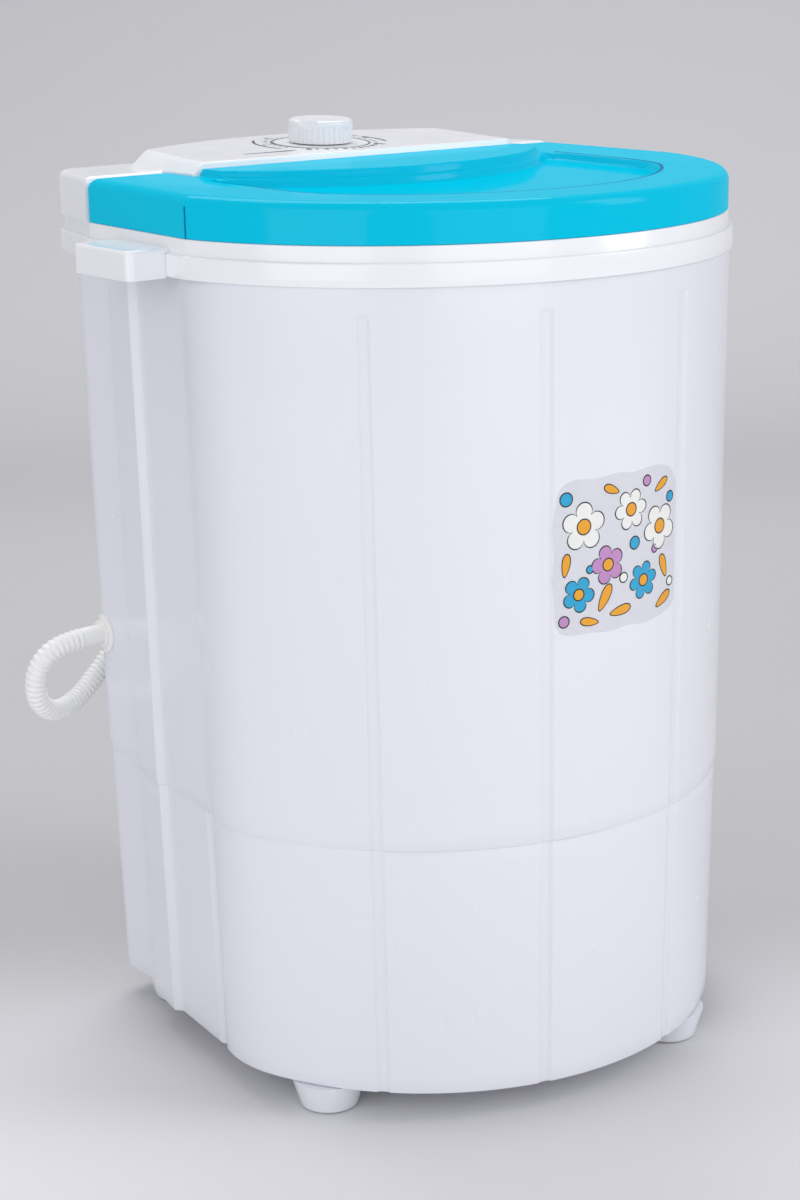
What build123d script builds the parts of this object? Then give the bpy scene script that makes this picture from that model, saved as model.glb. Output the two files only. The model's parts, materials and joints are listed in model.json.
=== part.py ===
from build123d import *
import math
import os

os.makedirs("parts", exist_ok=True)

# A compact single-tub washing machine on a D-shaped plan. Millimetres, +Z up, front towards -Y.
# It is drawn about the wash tub's upright axis and moved at export so that its base is centred.

# Driving sizes of the outer body
STEP_R = 173.85           # front radius at the seam between casing and base
CASING_Z = 476.0          # top edge of the casing, inside the band
REAR_Y = 141.8            # rear wall at the seam
SEAM_Z = 163.6            # seam between base and casing
BASE_Z = 17.8             # bottom edge of the base
WALL = 2.6                # moulded wall
TOP_FLARE = 4.35          # the casing's top edge stands out from the seam by this
BOTTOM_DRAW = 3.75        # the base's bottom edge stands in from the seam by this
SEAM_STEP = 0.45          # each side of the seam steps in or out by this
FRONT_HALF_ANGLE = 70.0   # half angle of the true round front

# Plan of the sides, behind the round front
CREASE_X = STEP_R - 10.05  # upright crease where the round front ends
CREASE = (CREASE_X, -9.0)
SIDE_BULGE = (CREASE_X + 4.2, -34.5)
PANEL_END = (CREASE_X - 6.3, 47.5)
RIDGE = (CREASE_X - 2.8, 51.5)       # pilaster that stands proud of the side
RIDGE_END = (CREASE_X - 9.0, 84.5)
REAR_SIDE = (CREASE_X - 16.6, 88.5)
CORNER_R = 16.0           # rear upright corners

# Flutes pressed into the round front, and an upright groove in the base at each crease
FLUTE_ANGLES = (-46.8, -15.6, 15.6, 46.8)
FLUTE_W = 7.6
FLUTE_DEPTH = 1.1
FLUTE_TOP_Z = CASING_Z - 19.0
CREASE_GROOVE_W = 9.0
CREASE_GROOVE_DEPTH = 1.4

# Lip of the base inside the casing, and the tabs and posts that screw the two together
LIP_H = 8.0
LIP_T = 2.0
LIP_FIT = 0.25
TAB_R = 7.0
TAB_T = 5.0
TAB_GAP = 0.3
FRONT_TAB_IN = 13.0       # the front posts stand this far inside the round front's wall
FRONT_TAB_ANGLE = 38.4
REAR_TAB_IN = 20.5        # the rear posts stand this far inside the rear wall and side wall
BASE_SCREW_L = 16.0

# Rear cover over the service window in the casing's rear wall
WINDOW_X = (-46.0, 86.0)
WINDOW_Z = (196.0, 316.0)
COVER_LAP = 11.0
COVER_PLATE_T = 2.0
LOUVRES = 6
LOUVRE_PITCH = 12.0
LOUVRE_H = 4.0
REAR_POST_R = 4.5
REAR_POST_L = 9.0

# Top rim: a proud band below, a collar above it that the lid closes on
BAND_Z = CASING_Z - 5.6
BAND_TOP_Z = CASING_Z + 6.8
COLLAR_Z = CASING_Z + 15.4
COLLAR_R = STEP_R + TOP_FLARE - 0.9
BAND_PROUD = 2.7
BAND_WALL = 1.5
COLLAR_WALL = 3.0
COLLAR_ANGLE = 81.0
DECK_T = 3.4              # shelf between the collar and the tub's mouth
MOUTH_LIP = 12.0
MOUTH_LIP_T = 2.2
MOUTH_LIP_DOWN = 3.0      # the mouth's upper edge lies this far below the collar's

# Side handle lugs
LUG_OUT = 22.7            # how far a lug stands out from the collar
LUG_X = COLLAR_R + LUG_OUT
LUG_Y = (-10.0, 49.0)
LUG_Z = (CASING_Z - 6.5, CASING_Z + 9.5)
LUG_WALL = 3.2
LUG_CORNER_R = 4.5
LUG_FIT = 0.1

# Control panel
BLOCK_PROUD = 1.7         # the side blocks stand out over the collar
BLOCK_Y = 85.0            # front face of the side blocks
BLOCK_TOP_Z = COLLAR_Z + 25.1
BLOCK_FILLET = 4.0
HUMP_Y = 52.0             # front face of the raised middle
HUMP_HALF_W = 118.0
HUMP_TOP_HALF_W = 106.0
HUMP_TILT = 3.0           # degrees, the dial faces slightly forward
DIAL_Y = 96.0
DIAL_Z = BLOCK_TOP_Z + 8.5  # height of the panel's top at the knob
HUMP_BACK_R = 241.5       # the raised middle's rear edge is an arc
HUMP_BACK_Y = REAR_Y + 3.2
PANEL_WALL = 2.5
PANEL_FIT = 0.3           # the panel's skirt inside the collar
PANEL_POSTS = ((-105.0, 118.0), (105.0, 118.0), (-100.0, 62.0), (100.0, 62.0))
PANEL_POST_R = 4.5
PANEL_SCREW_L = 13.0

# Plan of the collar and lid behind the round front
RIM_REAR_Y = REAR_Y + 6.2
RIM_SIDE_END = (COLLAR_R - 9.2, BLOCK_Y)
RIM_TAPER_END = (COLLAR_R - 20.8, RIM_REAR_Y - 18.0)
RIM_CORNER_IN = 4.0

# Timer knob, shaft and timer
KNOB_R = 19.3
KNOB_H = 13.5
KNOB_GAP = 0.8            # knob above the panel
KNOB_FLUTES = 36
KNOB_FLUTE_R = 1.0
KNOB_TOP_R = 2.2
KNOB_DEPTH = 9.0          # how far the shaft reaches into the knob
SHAFT_R = 3.0
FLAT_L = 7.0              # flat at the shaft's end that turns with the knob
FLAT_DEPTH = 0.8
PUSH_FIT = 0.02           # a hub pushed on to its shaft
SHAFT_FIT = 0.05          # running fit of a shaft in its bearing
BUSHING_R = 5.0
BUSHING_FIT = 0.15
TIMER_W = 46.0
TIMER_D = 40.0
TIMER_H = 20.0
TIMER_DOWN = 4.0          # the timer hangs this far below the panel's wall, on bosses
TIMER_EAR_T = 2.0
TIMER_SCREW_X = 27.0
TIMER_SCREW_L = 5.2
TIMER_BOSS_R = 4.0

# Lid
LID_GAP = 0.3             # lid above the collar
LID_WALL = 2.2
LID_TOP_FRONT = COLLAR_Z + 21.2  # top of the lid at the front edge
LID_SLOPE = 0.75          # degrees, the lid rises towards the back
LID_EDGE_R = 6.0
LID_BACK_Y = BLOCK_Y - 1.2
NOTCH_HALF_W = HUMP_HALF_W + 1.5  # the lid's rear is cut out round the raised middle
LEDGE_Y = HUMP_Y - 2.3    # rear edge of the raised ledge, in front of the hump
LEDGE_Z = DIAL_Z - 5.5
LEDGE_HALF_W = HUMP_HALF_W - 2.0
LEDGE_END_Y = 30.0        # the ledge's front arch starts here at each end
LEDGE_FRONT = 77.2        # and reaches this far in front of the ledge's rear edge
DISH_R = 139.0            # shallow dish in the lid
DISH_DEPTH = 4.5
DISH_FRONT_Y = -28.0      # middle of the dish's rear edge
DISH_BACK_Y = 42.0
DISH_FILLET = 2.5

# Lid hinge, hidden in the side blocks
HINGE_Y = BLOCK_Y + 6.0
HINGE_Z = COLLAR_Z + 19.1
HINGE_X = 143.0           # middle of each lid arm
ARM_W = 6.0
ARM_T = 3.5
ARM_DROP = 10.0
PIN_R = 1.5
PIN_FIT = 0.08
KNUCKLE_R = 3.0
EAR_T = 2.5
EAR_GAP = 0.5

# Wash tub and pulsator
TUB_TOP_R = 134.0         # inside radius at the top
TUB_TAPER = 5.5           # the tub's inside narrows by this towards its floor
TUB_FLOOR_R = TUB_TOP_R - TUB_TAPER
TUB_FLOOR_Z = 152.0
TUB_WALL = 2.5
TUB_CORNER = 15.0
FLANGE_T = 3.0
FLANGE_R = TUB_TOP_R + 6.5
MOUTH_R = TUB_TOP_R - 2.5  # round mouth of the rim, over the tub
MOUTH_BACK_Y = HUMP_Y - 8.0  # flat back of the mouth, in front of the control panel
WELL_R = 80.0             # shallow well that the pulsator turns in
WELL_DEPTH = 9.0
WELL_UNDER_Z = TUB_FLOOR_Z - WELL_DEPTH - TUB_WALL
PULSATOR_R = WELL_R - 4.0
PULSATOR_GAP = 2.0        # pulsator above the well's floor
PULSATOR_RISE = 16.0
PULSATOR_WALL = 3.5
PULSATOR_EDGE = 4.0
FINS = 6
FIN_W = 6.0
FIN_H = 8.0
HUB_R = 13.0
HUB_H = 20.0
SEAT_H = 8.0              # how far the shaft reaches into the pulsator
SCREW_SEAT_H = 12.0       # the pulsator screw's head sits this high in the hub
PULSATOR_SHAFT_R = 5.0

# Screws
SCREW_R = 1.8
SCREW_HEAD_R = 3.6
SCREW_HEAD_H = 2.2
SCREW_FIT = 0.15
HEAD_FIT = 0.6

# Screws through ears on the tub's flange into the deck
TUB_SCREWS = 6
TUB_SCREW_R = TUB_TOP_R + TUB_WALL + SCREW_HEAD_R + 1.4
TUB_SCREW_L = 5.4
TUB_EAR_R = 6.0

# Bearing housing under the tub
HOUSING_R = 17.0
HOUSING_Z = 108.0         # lower end of the bearing housing
HOUSING_FLANGE_R = 34.0
HOUSING_FLANGE_T = 4.0
HOUSING_SCREW_R = 26.0    # radius of the ring of screws
HOUSING_SCREW_L = 6.0
BUSH_R = 9.0
BUSH_L = 12.0
SEAL_H = 6.0

# Belt drive
BELT_Z = 92.0             # middle plane of the belt
BIG_PULLEY_R = 44.0
SMALL_PULLEY_R = 13.0
PULLEY_W = 13.0
GROOVE_DEPTH = 5.0
BELT_W = 8.0
BELT_T = 4.4
BELT_BEVEL = 1.2          # bevel of the belt's inner edges
BELT_FIT = 0.3
GROOVE_FLARE = 0.8
PULLEY_HOLES = 5
PULLEY_HOLE_R = 8.0
PULLEY_HOLE_AT = 24.0
SHAFT_END = 2.0           # each shaft stands out of its pulley by this

# Motor
MOTOR_X = 72.0
MOTOR_Y = 68.0
MOTOR_R = 42.0
MOTOR_Z = 38.0            # underside of the motor
MOTOR_SHAFT_R = 5.0
BELL_H = 12.0
BELL_WALL = 3.0
BELL_HUB_R = 10.0
BELL_HUB_H = 9.0
STATOR_H = 24.0
STATOR_BORE_R = 24.0
STATOR_Z = MOTOR_Z + BELL_H
UPPER_BELL_Z = STATOR_Z + STATOR_H
STATOR_SLOTS = 12
SLOT_R = 3.0
SLOT_AT = 29.0
ROTOR_GAP = 0.5
COIL_R = (26.0, 35.0)     # inside and outside of the coil ends
COIL_H = 5.5
PLATE_T = 2.0
PLATE_ARM_W = 18.0
MOUNT_AT = MOTOR_R + 11.0  # radius of the motor plate's three feet
MOUNT_ANGLES = (35.0, 155.0, 275.0)
MOUNT_R = 8.0
MOUNT_BORE_R = 2.2
MOUNT_BOSS_R = 6.0
MOUNT_BOSS_H = 4.0
MOTOR_SCREW_L = 15.0

# Capacitor on the base's floor
CAPACITOR = (-70.0, 92.0)
CAPACITOR_R = 16.0
CAPACITOR_H = 56.0
TERMINAL_X = 5.0
TERMINAL_H = 7.0
CLAMP_T = 1.2
CLAMP_H = 12.0
CLAMP_UP = 18.0
CLAMP_W = 12.0
CLAMP_REACH = 26.0
CLAMP_FIT = 0.1

# Floor of the base, and the cover over its service opening
FLOOR_Z = 21.0            # top of the base's floor
FLOOR_T = 3.0
SERVICE_R = 62.0
COVER_T = 2.0
COVER_RIM = 11.0
COVER_SCREW_AT = SERVICE_R + 6.0
COVER_SLOTS = 5
COVER_SLOT_W = 4.0
COVER_SLOT_L = 68.0

# Feet
FEET = ((-133.0, -76.0), (78.5, -131.0), (-119.0, 106.0), (119.0, 106.0))
FOOT_TOP_R = 21.5
FOOT_BOTTOM_R = 16.3
FOOT_H = 17.5
FOOT_EDGE_R = 2.5
FOOT_SPIGOT_R = 9.0
FOOT_RECESS = 9.0         # depth of the recess for the screw's head
FOOT_SCREW_L = 11.5

# Gland of the mains cord
GLAND_R = 5.5
GLAND_BORE_R = 3.2
GLAND_X = 96.0
GLAND_Z = 62.0
GLAND_STAND = 0.3         # the flange clears the drafted wall by this

# Drain path: strainer and elbow at the tub's floor, inner tube to the outlet, ribbed hose outside
HOSE_R = 6.5
HOSE_BORE_R = 4.2
HOSE_PITCH = 3.4
HOSE_RIB = 0.9            # how far a rib stands over the groove beside it
HOSE_STAND = 3.0          # the outer hose starts this far out from the wall
SPAN_RINGS = 24           # rings lofted at a time, so that no span turns far
ELBOW_R = 9.0
ELBOW_BORE_R = 7.0
ELBOW_FLANGE_R = 13.0
ELBOW_AT = (WELL_R + TUB_WALL + ELBOW_FLANGE_R + 3.5) / math.sqrt(2)
ELBOW_X = -ELBOW_AT
ELBOW_Y = ELBOW_AT
ELBOW_AXIS_Z = TUB_FLOOR_Z - 16.0
ELBOW_END_Y = ELBOW_Y + 18.0  # where the inner tube pushes on to the elbow
SPIGOT_L = 13.0
SPIGOT_R = HOSE_BORE_R - 0.1
SPIGOT_BORE_R = 2.9
STRAINER_R = 11.0
STRAINER_H = 2.4
OUTLET_Y = 128.0          # the hose leaves the left wall here
OUTLET_Z = 238.0
OUTLET_R = 8.5
OUTLET_LIP = 3.5
OUTLET_FIT = 0.15
OUTLET_IN = 7.0           # how far the outlet's neck reaches inside the wall
NOZZLE_L = 18.0
CUFF_L = 14.0
CUFF_WALL = 1.9

# Clips on the rear wall that hold the hose
CLIP_Z = (296.0, 374.0)
CLIP_FIT = 0.3
CLIP_T = 2.2
CLIP_W = 12.0
CLIP_BASE_T = 2.6
CLIP_SCREW_DX = 15.0
CLIP_STAND = 0.15

UP = (Align.CENTER, Align.CENTER, Align.MIN)
DOWN = (Align.CENTER, Align.CENTER, Align.MAX)


def grow_at(z):
    """How far the drafted body stands out from its seam outline at height z."""
    if z >= SEAM_Z:
        return SEAM_STEP + (TOP_FLARE - SEAM_STEP) * (z - SEAM_Z) / (CASING_Z - SEAM_Z)
    return -SEAM_STEP - (BOTTOM_DRAW - SEAM_STEP) * (SEAM_Z - z) / (SEAM_Z - BASE_Z)


def polar(radius, angle):
    """Point at a radius and an angle in degrees, anticlockwise from +X."""
    a = math.radians(angle)
    return (radius * math.cos(a), radius * math.sin(a))


def front_point(radius, angle):
    """Point on the round front, angle in degrees from straight ahead."""
    return polar(radius, angle - 90)


def rounded_back(arcs, back, rear_y, corner_r, z):
    """Face closed by the back's half outline and its mirror image, with its rear corners rounded."""
    outline = back + [(-x, y) for x, y in reversed(back)]
    face = make_face(arcs + [Polyline(*outline)])
    corners = [v for v in face.vertices() if abs(v.Y - rear_y) < 0.01]
    return Pos(0, 0, z) * fillet(corners, corner_r)


def body_outline(grow, z):
    """D-shaped outline of the drafted body, pushed outward by grow."""
    r = STEP_R + grow
    right = front_point(r, FRONT_HALF_ANGLE)
    left = (-right[0], right[1])
    bulge = (SIDE_BULGE[0] + grow, SIDE_BULGE[1])
    crease = (CREASE[0] + grow, CREASE[1])
    arcs = [
        ThreePointArc(left, (0, -r), right),
        ThreePointArc(right, bulge, crease),
        ThreePointArc(left, (-bulge[0], bulge[1]), (-crease[0], crease[1])),
    ]
    rear_y = REAR_Y + grow
    back = [crease]
    for x, y in (PANEL_END, RIDGE, RIDGE_END, REAR_SIDE, (REAR_SIDE[0], rear_y)):
        back.append((x + grow, y))
    return rounded_back(arcs, back, rear_y, CORNER_R + grow, z)


def rim_outline(grow, z):
    """Outline of the collar and lid, pushed outward by grow."""
    r = COLLAR_R + grow
    right = front_point(r, COLLAR_ANGLE)
    rear_y = RIM_REAR_Y + grow
    back = [right]
    for x, y in (RIM_SIDE_END, RIM_TAPER_END, (RIM_TAPER_END[0] - RIM_CORNER_IN, rear_y)):
        back.append((x + grow, y))
    arcs = [ThreePointArc((-right[0], right[1]), (0, -r), right)]
    return rounded_back(arcs, back, rear_y, CORNER_R + grow, z)


def drafted(low, high, inset):
    """Solid between two heights that follows the drafted body, inset from its outside."""
    hair = 0.001
    low_face = body_outline(grow_at(low + hair) - inset, low)
    high_face = body_outline(grow_at(high - hair) - inset, high)
    return loft([low_face, high_face], ruled=True)


def slab(face, height):
    """Upright extrusion of a level face."""
    return extrude(face, amount=height, dir=(0, 0, 1))


def box(x, y, z):
    """Box from its low and high limits along each axis."""
    size = [b - a for a, b in (x, y, z)]
    return Pos(x[0], y[0], z[0]) * Box(*size, align=(Align.MIN, Align.MIN, Align.MIN))


def rod(radius, low, high, x=0.0, y=0.0):
    """Upright cylinder between two heights."""
    return Pos(x, y, low) * Cylinder(radius, high - low, align=UP)


def tube(outer, inner, low, high, x=0.0, y=0.0):
    """Upright ring between two heights."""
    return rod(outer, low, high, x, y) - rod(inner, low - 1, high + 1, x, y)


def x_rod(radius, x0, x1, y, z):
    """Cylinder along X."""
    return Pos(x0, y, z) * Rot(0, 90, 0) * Cylinder(radius, x1 - x0, align=UP)


def y_rod(radius, y0, y1, x, z):
    """Cylinder along Y."""
    return Pos(x, y0, z) * Rot(-90, 0, 0) * Cylinder(radius, y1 - y0, align=UP)


def screw(place, length):
    """Pan-head screw: its head's underside is at the place and its shank runs along the place's +Z."""
    head = Pos(0, 0, -SCREW_HEAD_H) * Cylinder(SCREW_HEAD_R, SCREW_HEAD_H, align=UP)
    head = fillet(head.edges().group_by(Axis.Z)[0], SCREW_HEAD_H * 0.4)
    shank = Cylinder(SCREW_R, length, align=UP)
    shank = chamfer(shank.edges().group_by(Axis.Z)[-1], SCREW_R * 0.5)
    cross = Box(SCREW_HEAD_R * 1.3, 0.9, 1.0) + Box(0.9, SCREW_HEAD_R * 1.3, 1.0)
    return place * (head + shank - Pos(0, 0, -SCREW_HEAD_H) * cross)


def screw_bore(place, low, high):
    """Clearance hole for a screw's shank between two distances along the place's +Z."""
    return place * Pos(0, 0, low) * Cylinder(SCREW_R + SCREW_FIT, high - low, align=UP)


def screw_rod(low, high, x, y):
    """Upright clearance hole for a screw's shank."""
    return rod(SCREW_R + SCREW_FIT, low, high, x, y)


def flute(angle, low, high, r_low, r_high):
    """Cutter for one shallow flute with sloped sides."""
    faces = []
    half = FLUTE_W / 2
    for z, r in ((low, r_low), (high, r_high)):
        floor = r - FLUTE_DEPTH
        points = [(r + 1, half + 0.6), (floor, half - 1.2), (floor, 1.2 - half), (r + 1, -0.6 - half)]
        faces.append(Pos(0, 0, z) * Rot(0, 0, angle - 90) * make_face(Polyline(*points, close=True)))
    return loft(faces, ruled=True)


def flutes(low, high, grow_low, grow_high):
    """All front flutes between two heights of one drafted piece."""
    return [flute(a, low, high, STEP_R + grow_low, STEP_R + grow_high) for a in FLUTE_ANGLES]


def crease_groove(side):
    """Upright groove in the base where the round front meets the flat side."""
    faces = []
    half = CREASE_GROOVE_W / 2
    for z, grow in ((BASE_Z - 0.01, -BOTTOM_DRAW), (SEAM_Z + 0.01, -SEAM_STEP)):
        x = CREASE_X + grow
        floor = x - CREASE_GROOVE_DEPTH
        points = [(x + 2, -half), (floor, 2.6 - half), (floor, half - 3.0), (x + 2, half)]
        outline = make_face(Polyline(*[(side * px, CREASE[1] + py) for px, py in points], close=True))
        faces.append(Pos(0, 0, z) * outline)
    return loft(faces, ruled=True)


def tab_places():
    """Screw places that tie the casing to the base."""
    front = [front_point(STEP_R - FRONT_TAB_IN, a) for a in (-FRONT_TAB_ANGLE, FRONT_TAB_ANGLE)]
    x, y = REAR_SIDE[0] - REAR_TAB_IN, REAR_Y - REAR_TAB_IN
    return front + [(-x, y), (x, y)]


def make_upper_casing(path):
    core = drafted(SEAM_Z, CASING_Z, 0)
    shell = core - drafted(SEAM_Z, CASING_Z, WALL)
    for cutter in flutes(SEAM_Z - 0.01, FLUTE_TOP_Z, SEAM_STEP, grow_at(FLUTE_TOP_Z)):
        shell -= cutter
    low = SEAM_Z + LIP_H + TAB_GAP
    for x, y in tab_places():
        out = math.hypot(x, y)
        turn = math.degrees(math.atan2(y, x))
        arm = Rot(0, 0, turn) * Pos(out + 15, 0, low) * Box(30, 2 * TAB_R, TAB_T, align=UP)
        shell += (rod(TAB_R, low, low + TAB_T, x, y) + arm) & core
        shell -= screw_rod(low - 1, low + TAB_T + 1, x, y)
    shell -= x_rod(OUTLET_R, -CREASE_X - 5, -CREASE_X + 35, OUTLET_Y, OUTLET_Z)
    shell -= rear_window(0)
    for x, z in rear_screw_places():
        shell += y_rod(REAR_POST_R, REAR_Y - REAR_POST_L, REAR_Y + grow_at(z) - 1, x, z) & core
        shell -= rear_bore(x, z)
    for x, z in clip_screw_places(path):
        shell -= rear_bore(x, z)
    return shell


def make_base_housing():
    shell = drafted(BASE_Z, SEAM_Z, 0) - drafted(BASE_Z, SEAM_Z, WALL)
    for cutter in flutes(BASE_Z - 0.01, SEAM_Z + 0.01, -BOTTOM_DRAW, -SEAM_STEP):
        shell -= cutter
    for side in (-1, 1):
        shell -= crease_groove(side)
    floor_low = FLOOR_Z - FLOOR_T
    shell += slab(body_outline(grow_at(floor_low) - 1, floor_low), FLOOR_T)
    shell += base_lip()
    top = SEAM_Z + LIP_H
    inside = drafted(BASE_Z, top, WALL + TAB_GAP)
    for x, y in tab_places():
        shell += rod(TAB_R, FLOOR_Z - 1, top, x, y) & inside
        shell -= screw_rod(top - BASE_SCREW_L - 1, top + 1, x, y)
    shell -= rod(SERVICE_R, 0, FLOOR_Z + 1)
    for x, y in cover_screw_places():
        shell -= screw_rod(0, FLOOR_Z + 1, x, y)
    for x, y in FEET:
        shell -= rod(FOOT_SPIGOT_R + 0.1, 0, FLOOR_Z - 1, x, y)
        shell -= screw_rod(0, FLOOR_Z + 1, x, y)
    for x, y in motor_feet():
        shell += rod(MOUNT_BOSS_R, FLOOR_Z - 1, FLOOR_Z + MOUNT_BOSS_H, x, y)
        shell -= screw_rod(floor_low + 0.6, FLOOR_Z + MOUNT_BOSS_H + 1, x, y)
    shell -= screw_rod(0, FLOOR_Z + 1, CAPACITOR[0], CAPACITOR[1] - CLAMP_REACH)
    return shell - y_rod(GLAND_R + 0.1, REAR_Y - 12, REAR_Y + 12, GLAND_X, GLAND_Z)


def base_lip():
    """Seat at the seam and the lip above it that stands inside the casing."""
    outer = SEAM_STEP - WALL - LIP_FIT
    under = SEAM_Z - 6
    hollow = slab(body_outline(outer - LIP_T, under - 1), LIP_H + 8)
    lip = slab(body_outline(outer, under), SEAM_Z + LIP_H - under)
    seat = slab(body_outline(-SEAM_STEP - 0.5, under), SEAM_Z - under)
    return lip + seat - hollow


def rear_window(spread):
    """Cutter for the service window in the rear wall, widened by spread."""
    x = (WINDOW_X[0] - spread, WINDOW_X[1] + spread)
    z = (WINDOW_Z[0] - spread, WINDOW_Z[1] + spread)
    return box(x, (REAR_Y - 10, REAR_Y + 14), z)


def rear_screw_places():
    """Screws at the corners of the rear cover."""
    edge = COVER_LAP / 2
    x = (WINDOW_X[0] - edge, WINDOW_X[1] + edge)
    z = (WINDOW_Z[0] - edge, WINDOW_Z[1] + edge)
    return [(a, b) for a in x for b in z]


def rear_bore(x, z):
    """Clearance hole for a screw's shank through the rear wall."""
    return y_rod(SCREW_R + SCREW_FIT, REAR_Y - 12, REAR_Y + 14, x, z)


def make_rear_cover():
    """Louvred plate that lies on the drafted rear wall."""
    stand = 0.02
    outside = drafted(SEAM_Z, CASING_Z, -COVER_PLATE_T) - drafted(SEAM_Z, CASING_Z, -stand)
    plate = rear_window(COVER_LAP) & outside
    for row in range(LOUVRES):
        z = WINDOW_Z[0] + 30 + row * LOUVRE_PITCH
        x = (WINDOW_X[0] + 20, WINDOW_X[1] - 20)
        plate -= box(x, (REAR_Y - 20, REAR_Y + 20), (z, z + LOUVRE_H))
    for x, z in rear_screw_places():
        plate -= rear_bore(x, z)
    return plate


def make_rear_cover_screws():
    parts = []
    for x, z in rear_screw_places():
        y = REAR_Y + grow_at(z) + COVER_PLATE_T + 0.1
        parts.append(screw(Pos(x, y, z) * Rot(90, 0, 0), 10.0))
    return parts


def make_top_rim():
    band = slab(rim_outline(BAND_PROUD, BAND_Z), BAND_TOP_Z - BAND_Z)
    band = fillet(band.edges().group_by(Axis.Z)[-1], 1.0)
    rim = band + slab(rim_outline(0, BAND_TOP_Z - 2), COLLAR_Z - BAND_TOP_Z + 2)
    deck_top = CASING_Z + DECK_T
    rim -= slab(rim_outline(BAND_PROUD - BAND_WALL, BAND_Z - 1), CASING_Z - BAND_Z + 1)
    rim -= slab(rim_outline(-COLLAR_WALL, deck_top), 60)
    rim -= mouth(0, 0, 600)
    rim += mouth(0, CASING_Z - MOUTH_LIP, COLLAR_Z - MOUTH_LIP_DOWN) - mouth(MOUTH_LIP_T, 0, 600)
    for place in tub_screw_places():
        rim -= screw_bore(place, -0.5, TUB_SCREW_L + 0.2)
    for x, y in PANEL_POSTS:
        rim -= screw_rod(CASING_Z - 2, deck_top + 1, x, y)
    return rim


def mouth(inset, low, high):
    """The mouth over the tub: round, with a flat back."""
    reach = MOUTH_R + 1
    return rod(MOUTH_R - inset, low, high) & box((-reach, reach), (-reach, MOUTH_BACK_Y - inset), (low, high))


def lug_outline(inset):
    """Outline of the right lug, which starts inside the rim."""
    x0 = COLLAR_R - 17
    outer_x = LUG_X - inset
    middle = Pos((x0 + outer_x) / 2, sum(LUG_Y) / 2)
    face = middle * Rectangle(outer_x - x0, LUG_Y[1] - LUG_Y[0] - 2 * inset)
    corners = [v for v in face.vertices() if v.X > x0 + 1]
    return fillet(corners, max(LUG_CORNER_R - inset, 1.5))


def make_side_handle(side):
    """Hollow lug that the fingers reach under, on the band at one side."""
    low, high = LUG_Z
    lug = slab(Pos(0, 0, low) * lug_outline(0), high - low)
    top = lug.edges().group_by(Axis.Z)[-1].filter_by(lambda e: e.center().X > COLLAR_R - 12)
    lug = fillet(top, 2.0)
    lug -= slab(Pos(0, 0, low - 1) * lug_outline(LUG_WALL), high - low + 1 - LUG_WALL)
    lug -= slab(rim_outline(BAND_PROUD + LUG_FIT, BAND_Z - 3), BAND_TOP_Z + LUG_FIT - BAND_Z + 3)
    lug -= slab(rim_outline(LUG_FIT, BAND_TOP_Z), 20)
    return mirror(lug, about=Plane.YZ) if side < 0 else lug


def hump_plane(lower):
    """Placement on the tilted dial face, lowered along the face's normal."""
    return Pos(0, DIAL_Y, DIAL_Z) * Rot(HUMP_TILT, 0, 0) * Pos(0, 0, -lower)


def panel_block(inset):
    """Outside of the control panel moved in by inset: side blocks and the raised middle."""
    top = BLOCK_TOP_Z - inset
    down = 2.0 if inset else 0.0
    behind = ((-300, 300), (BLOCK_Y + inset, 300))
    low = COLLAR_Z - down
    block = slab(rim_outline(BLOCK_PROUD - inset, low), top - low) & box(*behind, (low, top))
    block = fillet(block.edges().group_by(Axis.Z)[-1], max(BLOCK_FILLET - inset, 1.0))
    skirt_low = CASING_Z + DECK_T - down
    skirt = slab(rim_outline(-COLLAR_WALL - PANEL_FIT - inset, skirt_low), top - skirt_low - 3)
    return block + (skirt & box(*behind, (skirt_low, top))) + hump(inset, skirt_low)


def hump(inset, low):
    """Raised middle with sloped ends, a tilted top and an arched rear edge."""
    half = HUMP_HALF_W - inset
    top_half = HUMP_TOP_HALF_W - inset
    points = [(-half, low), (-half, BLOCK_TOP_Z - inset), (-top_half, DIAL_Z + 3), (-top_half, DIAL_Z + 12)]
    points += [(-x, z) for x, z in reversed(points)]
    profile = Plane.XZ * make_face(Polyline(*points, close=True))
    body = Pos(0, HUMP_Y + inset, 0) * extrude(profile, amount=120, dir=(0, 1, 0))
    body -= hump_plane(inset) * Pos(0, 0, 50) * Box(400, 400, 100)
    back = Pos(0, HUMP_BACK_Y - HUMP_BACK_R, BLOCK_TOP_Z) * Cone(
        HUMP_BACK_R + 8 - inset, HUMP_BACK_R - inset, DIAL_Z + 3 - BLOCK_TOP_Z, align=UP
    )
    below = slab(rim_outline(-COLLAR_WALL - PANEL_FIT - inset, low), BLOCK_TOP_Z - low)
    above = back & slab(rim_outline(BLOCK_PROUD - BLOCK_FILLET - inset, BLOCK_TOP_Z - 1), 40)
    return body & (below + above)


def hinge_ears(side):
    """Ears inside a side block that hold the hinge pin."""
    ears = []
    for step in (-1, 1):
        x0 = side * HINGE_X + step * (ARM_W / 2 + EAR_GAP) + (0 if step > 0 else -EAR_T)
        y = (BLOCK_Y + 1, HINGE_Y + KNUCKLE_R + 2)
        ears.append(box((x0, x0 + EAR_T), y, (HINGE_Z - 2 * KNUCKLE_R, BLOCK_TOP_Z - 1.5)))
    return ears


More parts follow.
